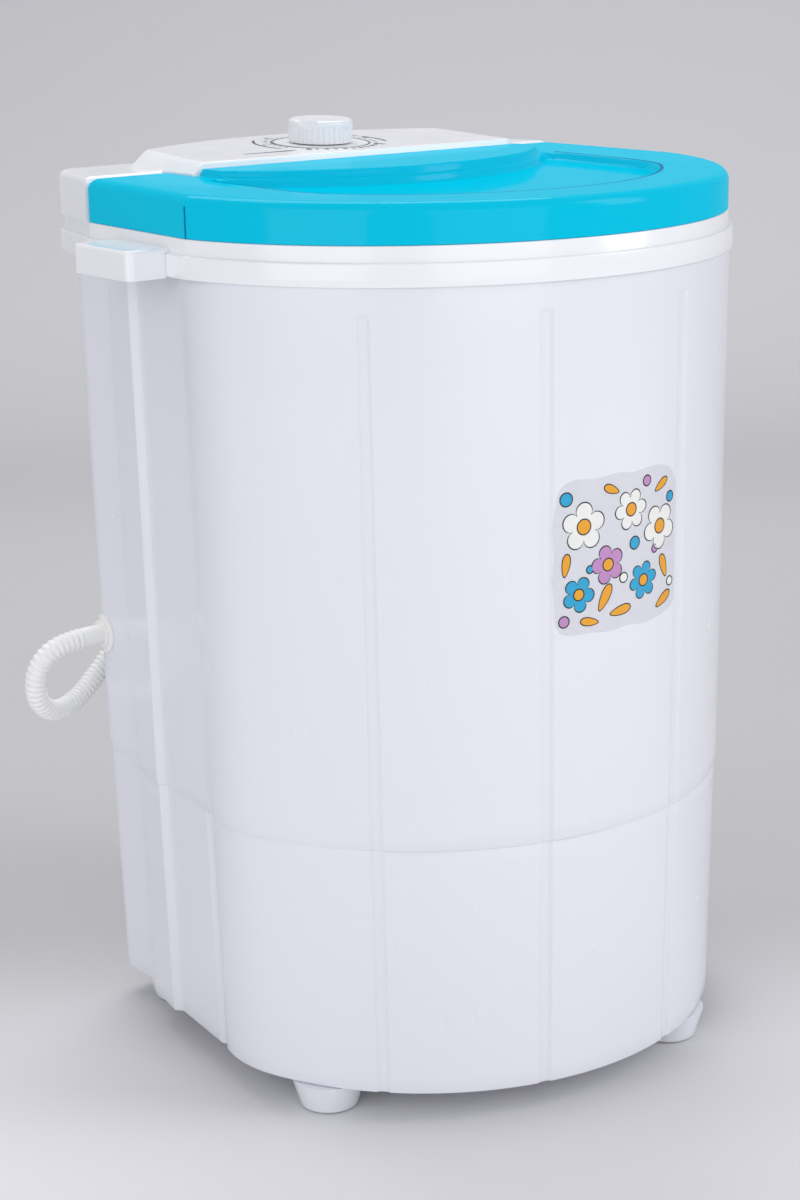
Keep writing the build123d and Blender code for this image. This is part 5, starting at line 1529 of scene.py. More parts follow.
def smooth_min(a: float, b: float, blend: float) -> float:
    """Smaller of two values, with a rounded change-over."""
    near = max(blend - abs(a - b), 0.0) / blend
    return min(a, b) - near * near * blend / 4


def quarter_drop(inside: float, radius: float) -> float:
    """How far a rounded edge lies below the face it rounds, a given distance inside the edge."""
    if inside >= radius:
        return 0.0
    reach = radius - max(inside, 0.0)
    return radius - math.sqrt(max(radius * radius - reach * reach, 0.0))


def slope_of(value: Callable[[float, float], float], x: float, y: float, step: float) -> Point2:
    """Give how steeply a function of the plan rises along X and along Y."""
    return ((value(x + step, y) - value(x - step, y)) / (2 * step),
            (value(x, y + step) - value(x, y - step)) / (2 * step))


def level_run(
    value: Callable[[float, float], float], start: Point2, level: float, spacing: float,
) -> list[Point2]:
    """Walk once round the closed line on which a smooth function has one value.

    Args:
        value: The function.
        start: A place near the line.
        level: The value on the line.
        spacing: Distance between the points.

    Returns:
        The points.
    """
    def slope(x: float, y: float) -> Point3:
        """Slope along X and Y, and its square, kept from zero."""
        dx, dy = slope_of(value, x, y, 0.05)
        return dx, dy, max(dx * dx + dy * dy, 1e-6)

    def settle(x: float, y: float) -> Point2:
        """Move a place on to the line."""
        for _ in range(3):
            dx, dy, size = slope(x, y)
            off = (level - value(x, y)) / size
            x, y = x + dx * off, y + dy * off
        return x, y

    x, y = settle(*start)
    out = [(x, y)]
    for _ in range(2000):
        dx, dy, size = slope(x, y)
        x, y = settle(x - dy / math.sqrt(size) * spacing, y + dx / math.sqrt(size) * spacing)
        if len(out) > 5 and math.hypot(x - out[0][0], y - out[0][1]) < spacing * 0.75:
            break
        out.append((x, y))
    return out


def true_normals(piece: bpy.types.Object, height: Callable[[float, float], float]) -> None:
    """Shade the upper skin of a moulding by the slope of its own height, so that its triangles never show.

    Args:
        piece: The moulding.
        height: Height of the upper skin at a place.
    """
    step, close, steepest, least_up = 0.04, 0.02, 6.0, 0.05
    blank = Vector((0.0, 0.0, 0.0))
    mesh = piece.data

    @lru_cache(maxsize=None)
    def normal(index: int) -> Vector:
        """Direction straight out of the skin at a point, or blank where it isn't on the skin."""
        co = mesh.vertices[index].co
        x, y, z = co.x / MM, (co.y - AXIS_Y) / MM, co.z / MM
        if abs(height(x, y) - z) > close:
            return blank
        dx, dy = slope_of(height, x, y, step)
        return Vector((-dx, -dy, 1.0)).normalized() if dx * dx + dy * dy < steepest * steepest else blank

    mesh.normals_split_custom_set([
        normal(index) if face.normal.z > least_up else blank
        for face in mesh.polygons for index in face.vertices
    ])


def triangulate(points: Sequence[Vector], edges: Sequence[Face]) -> tuple[list[Point2], list[Sequence[int]]]:
    """Join points of a plan into triangles that keep the given edges."""
    verts, _, faces, *_ = delaunay_2d_cdt(points, edges, [], 1, 1e-5)
    return [(v.x, v.y) for v in verts], faces


def loop_edges(loops: Sequence[Sequence[Point2]]) -> tuple[list[Vector], list[Face]]:
    """Give the points of closed outlines and the edges that join them."""
    points: list[Vector] = []
    edges: list[Face] = []
    for loop in loops:
        start = len(points)
        points += [Vector(p) for p in loop]
        edges += [(start + i, start + (i + 1) % len(loop)) for i in range(len(loop))]
    return points, edges


def face_middle(plan: Sequence[Point2], face: Sequence[int]) -> Point2:
    """Centre of a face."""
    return sum(plan[i][0] for i in face) / len(face), sum(plan[i][1] for i in face) / len(face)


def border(faces: Iterable[Sequence[int]]) -> list[Face]:
    """Edges that only one face has, in that face's direction."""
    seen = {edge: True for face in faces for edge in zip(face, (*face[1:], face[0]))}
    return [(a, b) for a, b in seen if (b, a) not in seen]


@dataclass
class Moulding:
    """A thin moulded shell over a plan: an upper skin of any height, side walls and an inner skin.

    Attributes:
        height: Height of the upper skin at a place.
        inside: Distance of a place inside the plan's outline.
        wall: Thickness.
        low: Height of the side walls' lower edge at a place.
        row_share: Distance of the triangles' rows, as a share of their size.
        rim_share: Share of the thickness at which the inner skin begins.
    """

    height: Callable[[float, float], float]
    inside: Callable[[float, float], float]
    wall: float
    low: Callable[[float, float], float]
    row_share: float = 0.866
    rim_share: float = 0.94

    def build(
        self, name: str, loops: Sequence[Sequence[Point2]], lines: Iterable[Point2], cell: float,
        busy: Callable[[float, float], bool],
    ) -> bpy.types.Object:
        """Build the shell.

        Args:
            name: The object's name.
            loops: Closed outline, then the closed line of the wall's inside, then any holes in pairs.
            lines: Points along edges that the triangles follow.
            cell: Size of the plain triangles.
            busy: Tells where the plain triangles leave room for the lines.

        Returns:
            The shell.
        """
        points, edges = loop_edges(loops)
        xs, ys = [p.x for p in points], [p.y for p in points]
        points += [Vector(p) for p in lines if self.inside(*p) > 0.05]
        for r in range(int((max(ys) - min(ys)) / (cell * self.row_share)) + 1):
            y = min(ys) + r * cell * self.row_share
            for c in range(int((max(xs) - min(xs)) / cell) + 1):
                x = min(xs) + (c + 0.5 * (r % 2)) * cell
                if self.inside(x, y) > cell * 0.6 and not busy(x, y):
                    points.append(Vector((x, y)))
        plan, faces = triangulate(points, edges)
        return self._shell(name, plan, [f for f in faces if self.inside(*face_middle(plan, f)) > 0])

    def _shell(self, name: str, plan: list[Point2], faces: list[Sequence[int]]) -> bpy.types.Object:
        """Raise the plan's triangles into a closed shell."""
        deep = [self.inside(x, y) > self.wall * self.rim_share for x, y in plan]
        count = len(plan)
        top = [place(x, y, self.height(x, y)) for x, y in plan]
        under = [place(x, y, self.height(x, y) - self.wall) for x, y in plan]
        foot = [place(x, y, self.low(x, y)) for x, y in plan]
        skin: list[Face] = [tuple(f) for f in faces]
        inner = [f for f in faces if all(deep[i] for i in f)]
        rim = [f for f in faces if not all(deep[i] for i in f)]
        skin += [tuple(i + count for i in reversed(f)) for f in inner]
        skin += [tuple(i + 2 * count for i in reversed(f)) for f in rim]
        skin += [(b, a, a + 2 * count, b + 2 * count) for a, b in border(faces)]
        skin += [(a + count, b + count, b + 2 * count, a + 2 * count) for a, b in border(inner)]
        shell = link_mesh(name, top + under + foot, skin)
        work = bmesh.new()
        work.from_mesh(shell.data)
        bmesh.ops.delete(work, geom=[v for v in work.verts if not v.link_faces], context="VERTS")
        work.to_mesh(shell.data)
        work.free()
        shade_smooth(shell.data)
        sharpen(shell)
        return shell


def cut_boxes(piece: bpy.types.Object, boxes: Sequence[tuple[Point2, Point2, Point2]]) -> None:
    """Cut boxes out of a closed mesh.

    Args:
        piece: The mesh object.
        boxes: Low and high limits along each axis.
    """
    verts: list[Vector] = []
    faces: list[Face] = []
    for (x0, x1), (y0, y1), (z0, z1) in boxes:
        n = len(verts)
        verts += [place(x, y, z) for z in (z0, z1) for x, y in ((x0, y0), (x1, y0), (x1, y1), (x0, y1))]
        faces += [tuple(n + i for i in f) for f in (
            (3, 2, 1, 0), (4, 5, 6, 7), (0, 1, 5, 4), (1, 2, 6, 5), (2, 3, 7, 6), (3, 0, 4, 7))]
    cut_with(piece, verts, faces)


def cut_with(piece: bpy.types.Object, verts: list[Vector], faces: list[Face]) -> None:
    """Cut a closed cutter out of a closed mesh.

    Args:
        piece: The mesh object.
        verts: The cutter's points.
        faces: The cutter's faces.
    """
    cutter = link_mesh("cutter", verts, faces)
    modifier = piece.modifiers.new("cut", "BOOLEAN")
    modifier.operation = "DIFFERENCE"
    modifier.solver = "MANIFOLD"
    modifier.object = cutter
    bpy.context.view_layer.update()
    result = bpy.data.meshes.new_from_object(piece.evaluated_get(bpy.context.evaluated_depsgraph_get()))
    piece.modifiers.clear()
    old = piece.data
    piece.data = result
    bpy.data.meshes.remove(old)
    bpy.data.objects.remove(cutter)
    result.name = piece.name
    shade_smooth(result)
    sharpen(piece)


def rod(
    centre: Callable[[float, float, float], Point3], radius: float, ends: Point2, count: int = 48,
) -> tuple[list[Vector], list[Face]]:
    """Closed cylinder whose rings come from a placing function.

    Args:
        centre: Turns across, up and along into a point.
        radius: Radius of the cylinder.
        ends: Start and end along its length.
        count: Steps round.

    Returns:
        Points and faces.
    """
    turns = [2 * math.pi * k / count for k in range(count)]
    return join_rows([
        [place(*centre(radius * math.cos(t), radius * math.sin(t), along)) for t in turns] for along in ends
    ])


@lru_cache(maxsize=None)
def rim_sides(grow: float) -> tuple[tuple[Point3, ...], Point2, Point2, Point2, float]:
    """Work out the rim's straight sides and its rounded rear corner for one growth.

    Args:
        grow: How far the outline is pushed outward.

    Returns:
        Each side as a line, then the corner's centre, its two directions and its radius.
    """
    corners = [front_end(RIM.front_r + grow, RIM.half_angle)]
    corners += [(cx + grow, cy) for cx, cy in (RIM.side_end, RIM.taper_end)]
    corners.append((RIM.rear_corner[0] + grow, RIM.rear_corner[1] + grow))
    lines = []
    for (ax, ay), (bx, by) in zip(corners, corners[1:]):
        length = math.hypot(bx - ax, by - ay)
        across, along = (by - ay) / length, (bx - ax) / length
        lines.append((across, along, across * ax - along * ay))
    corner = Vector(corners[-1])
    u, v = (Vector(corners[-2]) - corner).normalized(), Vector((-1.0, 0.0))
    radius = max(RIM.corner_r + grow, RIM.least_r)
    centre = corner + (u + v).normalized() * (radius / math.sin(math.acos(u.dot(v)) / 2))
    return tuple(lines), (centre.x, centre.y), (u.x, u.y), (v.x, v.y), radius


def rim_inside(x: float, y: float, grow: float) -> float:
    """Distance of a place inside the rim's outline pushed out by grow."""
    past_knee = 4
    x = abs(x)
    lines, centre, u, v, radius = rim_sides(grow)
    side, taper, rear = (offset - across * x + along * y for across, along, offset in lines)
    inside = min(RIM.rear_corner[1] + grow - y, side, max(taper, rear))
    dx, dy = x - centre[0], y - centre[1]
    if dx * u[0] + dy * u[1] < 0 and dx * v[0] + dy * v[1] < 0:
        inside = min(inside, radius - math.hypot(dx, dy))
    if math.degrees(math.atan2(x, -y)) < RIM.half_angle + past_knee:
        inside = min(inside, RIM.front_r + grow - math.hypot(x, y))
    return inside


@dataclass
class Lid:
    """The tinted flip-up lid: one thin moulding with a raised ledge, a round dish and two hinge arms."""

    low: float = 491.7
    top_front: float = 512.6
    slope: float = 0.75
    edge_r: float = 6.0
    notch_r: float = 0.7
    wall: float = 2.2
    back_y: float = 83.8
    notch_half: float = 119.5
    ledge_y: float = 49.7
    ledge_z: float = 519.5
    ledge_half: float = 116.0
    ledge_end_y: float = 30.0
    ledge_middle_y: float = -27.5
    ledge_step: float = 2.2
    dish_r: float = 139.0
    dish_depth: float = 4.5
    dish_half: float = 117.0
    dish_middle_y: float = -28.0
    dish_step: float = 3.0
    tip_from: float = 100.0
    tip_blend: float = 26.0
    tip_half: float = 124.5
    tip_round: float = 12.0
    cell: float = 2.2
    edge_spacing: float = 1.6
    spacing: float = 1.5
    insets: tuple[float, ...] = (0.12, 0.35, 0.7, 1.2, 1.8, 2.9, 3.7, 4.6, 5.5, 6.2, 7.2)
    busy_edge: float = 8.2
    busy_ledge: Point2 = (-0.9, 3.0)
    busy_dish: Point2 = (-2.4, 4.2)
    arm_x: float = 143.0
    arm_width: float = 6.0
    arm_front: float = 82.0
    arm_z: Point2 = (500.5, 504.0)
    arm_half: float = 1.75
    eye_r: float = 3.0
    hinge: Point2 = (91.0, 510.5)
    # Painted shade: darker cyan for the line along the dish's front step and the side knees, where shade
    # falls in the plastic.
    line: TintedFinish = TintedFinish("lid_painted_edge_shade", (0.0, 0.155, 0.32), (0.0, 0.13, 0.28), 0.03, 0.2)
    line_dish: Point2 = (-1.5, 0.2)
    line_r: float = 120.0
    line_y: float = 24.0
    knee_half: float = 1.2
    knee_depth: float = 0.5

    @staticmethod
    def _arch(half: float, end_y: float, middle_y: float) -> Point2:
        """Centre and radius of an arc over the width."""
        rise = end_y - middle_y
        radius = (half * half + rise * rise) / (2 * rise)
        return middle_y + radius, radius

    def edge(self, x: float, y: float) -> float:
        """Distance inside the outer edge and the rear edge."""
        return min(rim_inside(x, y, 0.0), self.back_y - y)

    def inside(self, x: float, y: float) -> float:
        """Distance inside the whole plan, with the notch."""
        return min(self.edge(x, y), max(self.ledge_y - y, abs(x) - self.notch_half))

    def in_ledge(self, x: float, y: float) -> float:
        """Distance inside the raised ledge's front and ends."""
        centre, radius = self._arch(self.ledge_half, self.ledge_end_y, self.ledge_middle_y)
        return min(radius - math.hypot(x, y - centre), self.ledge_half - abs(x))

    def in_dish(self, x: float, y: float) -> float:
        """Distance inside the round dish."""
        centre, radius = self._arch(self.dish_half, self.ledge_end_y, self.dish_middle_y)
        outer, inner = self.dish_r - math.hypot(x, y), math.hypot(x, y - centre) - radius
        crescent = smooth_min(outer, inner, self.tip_blend)
        if abs(x) > self.tip_from:
            return smooth_min(crescent, self.tip_half - abs(x), self.tip_round)
        return crescent

    def height(self, x: float, y: float) -> float:
        """Height of the upper skin."""
        plain = self.top_front + (y + RIM.front_r) * math.tan(math.radians(self.slope))
        z = plain - quarter_drop(self.edge(x, y), self.edge_r)
        z += max(self.ledge_z - z, 0.0) * smooth_step(0.0, self.ledge_step, self.in_ledge(x, y))
        z -= self.dish_depth * smooth_step(0.0, self.dish_step, self.in_dish(x, y))
        notch = self.ledge_y - y if abs(x) < self.notch_half else abs(x) - self.notch_half
        return z - quarter_drop(notch, self.notch_r)

    def outline(self, inset: float) -> list[Point2]:
        """Closed outline of the lid, moved in by inset."""
        back = self.back_y - inset
        half = [p for p in RIM.half_outline(-inset) if p[1] < back - 0.4]
        a, b = half[-1], RIM.side_end
        slope = (b[0] - inset - a[0]) / (b[1] - a[1])
        corners = [a, (a[0] + slope * (back - a[1]), back), (self.notch_half + inset, back),
                   (self.notch_half + inset, self.ledge_y - inset), (0.0, self.ledge_y - inset)]
        return mirrored(half + dense(corners, self.edge_spacing)[1:])

    def lines(self) -> list[Point2]:
        """Points along the rounded edges, the ledge and the dish."""
        points = [p for inset in self.insets for p in self.outline(inset)]
        centre, radius = self._arch(self.ledge_half, self.ledge_end_y, self.ledge_middle_y)
        for step in range(-1, 9):
            off = step * self.ledge_step / 7
            points += arc_run((0.0, centre), radius - off, 215, 325, self.spacing)
            points += [(side * (self.ledge_half - off), y) for side in (-1, 1) for y in range(31, 49)]
        for step in range(-5, 10):
            off = step * self.dish_step / 8
            points += level_run(self.in_dish, (0.0, off - self.dish_r), off, self.spacing)
        return points

    def _paint_edge_shade(self, lid: bpy.types.Object) -> None:
        """Paint shade on the step round the dish's front and down each side's knee: faces there take a darker
        cyan, a painted shade line.
        """
        lid.data.materials.append(WARDROBE.get(self.line))
        knee_y = front_end(RIM.front_r, RIM.half_angle)[1]
        low, high = self.line_dish
        for face in lid.data.polygons:
            x, y = face.center.x / MM, (face.center.y - AXIS_Y) / MM
            if face.normal.z > 0.05 and math.hypot(x, y) > self.line_r and y < self.line_y:
                dark = low < self.in_dish(x, y) < high
            else:
                on_side = face.normal.z < 0.05 and abs(y - knee_y) < self.knee_half
                dark = on_side and self.edge(x, y) < self.knee_depth
            if dark:
                face.material_index = 1

    def _busy(self, x: float, y: float) -> bool:
        """Whether a place is covered by the finer lines."""
        on_ledge = self.busy_ledge[0] < self.in_ledge(x, y) < self.busy_ledge[1]
        on_dish = self.busy_dish[0] < self.in_dish(x, y) < self.busy_dish[1]
        return self.inside(x, y) < self.busy_edge or on_ledge or on_dish

    def _arms(self) -> tuple[list[Vector], list[Face]]:
        """Gooseneck arms that run back from the lid's rear wall to the hinge pins."""
        y0, z0 = self.hinge
        low, high = self.arm_z
        turns = [math.radians(-30 + 240 * k / 16) for k in range(17)]
        ring = [(y0 + self.eye_r * math.cos(t), z0 + self.eye_r * math.sin(t)) for t in turns]
        profile = [(self.arm_front, low), (y0 + self.arm_half, low)] + ring
        profile += [(y0 - self.arm_half, high), (self.arm_front, high)]
        verts: list[Vector] = []
        faces: list[Face] = []
        for side in (-1, 1):
            more, sides = join_rows([
                [place(side * self.arm_x + half * self.arm_width / 2, y, z) for y, z in profile]
                for half in (-1, 1)
            ])
            faces += [tuple(i + len(verts) for i in f) for f in sides]
            verts += more
        return verts, faces

    def build(self) -> bpy.types.Object:
        """Build the lid.

        Returns:
            The lid object.
        """
        shell = Moulding(self.height, self.inside, self.wall, lambda x, y: self.low)
        loops = [self.outline(0.0), self.outline(self.wall)]
        lid = shell.build("lid_moulding", loops, self.lines(), self.cell, self._busy)
        arms = link_mesh("lid_hinge_arms", *self._arms())
        sharpen(arms)
        dress_piece(arms, Body.LID, Slot.LID)
        dress_piece(lid, Body.LID, Slot.LID)
        self._paint_edge_shade(lid)
        true_normals(lid, self.height)
        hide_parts("lid")
        return lid


@dataclass
class ControlPanel:
    """Control panel: side blocks beside the lid's notch and a raised middle with the tilted dial face."""

    wall: float = 2.5
    proud: float = 1.7
    block_y: float = 85.0
    block_z: float = 516.5
    block_r: float = 4.0
    front_y: float = 52.0
    front_r: float = 0.9
    half: float = 118.0
    top_half: float = 106.0
    tilt: float = 3.0
    dial: Point2 = (96.0, 525.0)
    back_centre: float = -96.5
    back_r: float = 241.5
    back_spread: float = 8.0
    end_rise: float = 11.5
    blend: float = 2.0
    block_blend: float = 1.2
    collar: float = 491.45
    collar_depth: float = 3.25
    deck: float = 479.45
    bore: float = 5.15
    slot_x: Point2 = (139.5, 146.5)
    slot_z: Point2 = (497.5, 513.5)
    cell: float = 3.0
    spacing: float = 1.7
    insets: tuple[float, ...] = (0.12, 0.35, 0.7, 1.2, 1.8, 3.2, 4.1, 5.2)
    end_lines: tuple[float, ...] = (117.2, 116.4, 115.4, 110.0, 108.2, 107.2, 106.2, 105.2)
    back_lines: tuple[float, ...] = (250.2, 249.4, 248.6, 247.6, 246, 244.6, 243.6, 242.8, 242, 241.2, 240)
    bore_lines: tuple[float, ...] = (0.8, 3.5, 6.0)
    busy_edge: float = 6.0
    busy_end: Point2 = (104.6, 118.4)
    busy_back: Point2 = (239.4, 251.0)

    def inside(self, x: float, y: float) -> float:
        """Distance inside the plan of the blocks and the raised middle."""
        middle = min(self.half - abs(x), y - self.front_y)
        body = min(rim_inside(x, y, self.proud), max(y - self.block_y, middle))
        return min(body, math.hypot(x, y - self.dial[0]) - self.bore)

    def height(self, x: float, y: float) -> float:
        """Height of the upper skin."""
        edge = min(rim_inside(x, y, self.proud), y - self.block_y)
        block = self.block_z - quarter_drop(edge, self.block_r) if edge > -0.01 else 0.0
        plane = self.dial[1] + (y - self.dial[0]) * math.tan(math.radians(self.tilt))
        ends = self.block_z + (self.half - abs(x)) * self.end_rise / (self.half - self.top_half)
        back = self.back_r + self.back_spread - math.hypot(x, y - self.back_centre)
        rear = self.block_z + back * self.end_rise / self.back_spread
        hump = smooth_min(smooth_min(plane, ends, self.blend), rear, self.blend)
        hump -= quarter_drop(y - self.front_y, self.front_r)
        return -smooth_min(-block, -hump, self.block_blend) if block > 0 else hump

    def low(self, x: float, y: float) -> float:
        """Height of the walls' lower edge: on the collar outside it, on the deck inside it."""
        if math.hypot(x, y - self.dial[0]) < self.bore + self.wall + 0.5:
            return self.height(x, y) - self.wall
        return self.collar if rim_inside(x, y, 0.0) < self.collar_depth else self.deck

    def outline(self, inset: float) -> list[Point2]:
        """Closed outline, moved in by inset."""
        grown = [p for p in RIM.half_outline(self.proud - inset) if p[1] > self.block_y + inset + 0.4]
        a, b = RIM.side_end, RIM.taper_end
        slope = (b[0] - a[0]) / (b[1] - a[1])
        x_front = a[0] + self.proud - inset + slope * inset
        front = [(0.0, self.front_y + inset), (self.half - inset, self.front_y + inset),
                 (self.half - inset, self.block_y + inset), (x_front, self.block_y + inset), grown[0]]
        return mirrored(dense(front, 1.6)[:-1] + dense(grown, 2.4))

    def lines(self) -> list[Point2]:
        """Points along the rounded edges and the raised middle's borders."""
        points = [p for inset in self.insets for p in self.outline(inset)]
        for x in self.end_lines:
            points += [(side * x, 54 + k * self.spacing) for side in (-1, 1) for k in range(54)]
        for r in self.back_lines:
            points += arc_run((0.0, self.back_centre), r, 60, 120, self.spacing)
        for out in self.bore_lines:
            points += arc_run((0.0, self.dial[0]), self.bore + out, 0, 352, 1.2)
        return points

    def _busy(self, x: float, y: float) -> bool:
        """Whether a place is covered by the finer lines."""
        on_end = self.busy_end[0] < abs(x) < self.busy_end[1]
        on_back = self.busy_back[0] < math.hypot(x, y - self.back_centre) < self.busy_back[1]
        return self.inside(x, y) < self.busy_edge or on_end or on_back

    def build(self) -> bpy.types.Object:
        """Build the panel and cut the slots for the lid's arms.

        Returns:
            The panel object.
        """
        shell = Moulding(self.height, self.inside, self.wall, self.low)
        loops = [self.outline(0.0), self.outline(self.wall)]
        loops += [circle(0.0, self.dial[0], r, 0.7) for r in (self.bore, self.bore + self.wall)]
        panel = shell.build("control_panel_moulding", loops, self.lines(), self.cell, self._busy)
        a, b = self.slot_x
        slot_y = (self.block_y - 1, self.block_y + self.wall + 0.3)
        cut_boxes(panel, [(x, slot_y, self.slot_z) for x in ((-b, -a), (a, b))])
        true_normals(panel, self.height)
        dress_piece(panel, Body.CABINET, Slot.RIM)
        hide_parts("control_panel")
        return panel


class Print:
    """Collects thin flat shapes of one ink that lie on a curved or tilted face."""

    def __init__(self, onto: Callable[[float, float, float], Vector], thickness: float) -> None:
        """Keep how a flat place is laid on to the face.

        Args:
            onto: Turns across, up and height over the face into a point of the frame.
            thickness: Thickness of the ink in millimetres.
        """
        self.onto = onto
        self.thickness = thickness
        self.verts: list[Vector] = []
        self.faces: list[Face] = []

    def fill(
        self, outline: Sequence[Point2], cell: float, lift: float = 0.0,
        holes: Sequence[Sequence[Point2]] = (),
    ) -> None:
        """Add a filled shape.

        Args:
            outline: Closed outline.
            cell: Size of the triangles, so that it follows the face.
            lift: Height of its underside over the face.
            holes: Closed outlines inside it that stay bare.
        """
        loops = [outline, *holes]
        points, edges = loop_edges(loops)
        xs, ys = [p[0] for p in outline], [p[1] for p in outline]
        for r in range(int((max(ys) - min(ys)) / cell) + 1):
            for c in range(int((max(xs) - min(xs)) / cell) + 1):
                spot = (min(xs) + (c + 0.5) * cell, min(ys) + (r + 0.5) * cell)
                if self._clear(spot, loops, cell * 0.45):
                    points.append(Vector(spot))
        plan, faces = triangulate(points, edges)
        self._raise(plan, [f for f in faces if self._within(face_middle(plan, f), loops)], lift)

    @staticmethod
    def _odd(spot: Point2, loop: Sequence[Point2]) -> bool:
        """Whether a place lies inside one closed outline."""
        inside = False
        for (ax, ay), (bx, by) in zip(loop, list(loop[1:]) + [loop[0]]):
            if (ay > spot[1]) != (by > spot[1]) and spot[0] < (bx - ax) * (spot[1] - ay) / (by - ay) + ax:
                inside = not inside
        return inside

    def _within(self, spot: Point2, loops: Sequence[Sequence[Point2]]) -> bool:
        """Whether a place is inside the shape and outside its holes."""
        return self._odd(spot, loops[0]) and not any(self._odd(spot, loop) for loop in loops[1:])

    def _clear(self, spot: Point2, loops: Sequence[Sequence[Point2]], reach: float) -> bool:
        """Whether a place is inside the shape and away from its outlines."""
        if not self._within(spot, loops):
            return False
        x, y = spot
        return all((px - x) ** 2 + (py - y) ** 2 > reach * reach for loop in loops for px, py in loop)

    def _raise(self, plan: list[Point2], faces: list[Sequence[int]], lift: float) -> None:
        """Lay the triangles on the face as a thin closed layer."""
        base, count = len(self.verts), len(plan)
        self.verts += [self.onto(x, y, lift + self.thickness) for x, y in plan]
        self.verts += [self.onto(x, y, lift) for x, y in plan]
        self.faces += [tuple(base + i for i in f) for f in faces]
        self.faces += [tuple(base + count + i for i in reversed(f)) for f in faces]
        for a, b in border(faces):
            self.faces.append((base + b, base + a, base + a + count, base + b + count))

    def build(self, name: str, slot: Slot, finish: InkFinish) -> bpy.types.Object:
        """Make the printed layer, which rides on the cabinet.

        Args:
            name: The object's name.
            slot: The record slot of the face that it is printed on.
            finish: The ink.

        Returns:
            The layer.
        """
        layer = link_mesh(name, self.verts, self.faces)
        sharpen(layer, 60.0)
        dress_piece(layer, Body.CABINET, slot, WARDROBE.get(finish))
        return layer


def circle(x: float, y: float, radius: float, spacing: float = 0.9) -> list[Point2]:
    """Closed circle."""
    return arc_run((x, y), radius, 0, 360, spacing)[:-1]


def band_arc(radius: float, width: float, start: float, end: float) -> list[Point2]:
    """Closed outline of a strip along an arc, angles in degrees anticlockwise from +X."""
    outer = arc_run((0, 0), radius + width / 2, start, end, 0.8)
    inner = arc_run((0, 0), radius - width / 2, start, end, 0.8)
    return outer + inner[::-1]


def bar(x: float, y: float, angle: float, length: float, width: float) -> list[Point2]:
    """Closed outline of a short straight stroke round its middle."""
    a = math.radians(angle)
    along, across = (math.cos(a), math.sin(a)), (-math.sin(a), math.cos(a))
    return [
        (x + i * along[0] * length / 2 + j * across[0] * width / 2,
         y + i * along[1] * length / 2 + j * across[1] * width / 2)
        for i, j in ((-1, -1), (1, -1), (1, 1), (-1, 1))
    ]


def spoke(radius: float, angle: float, length: float, width: float) -> list[Point2]:
    """Closed outline of a stroke that points away from the middle, at a radius and an angle in degrees."""
    a = math.radians(angle)
    return bar(radius * math.cos(a), radius * math.sin(a), angle, length, width)


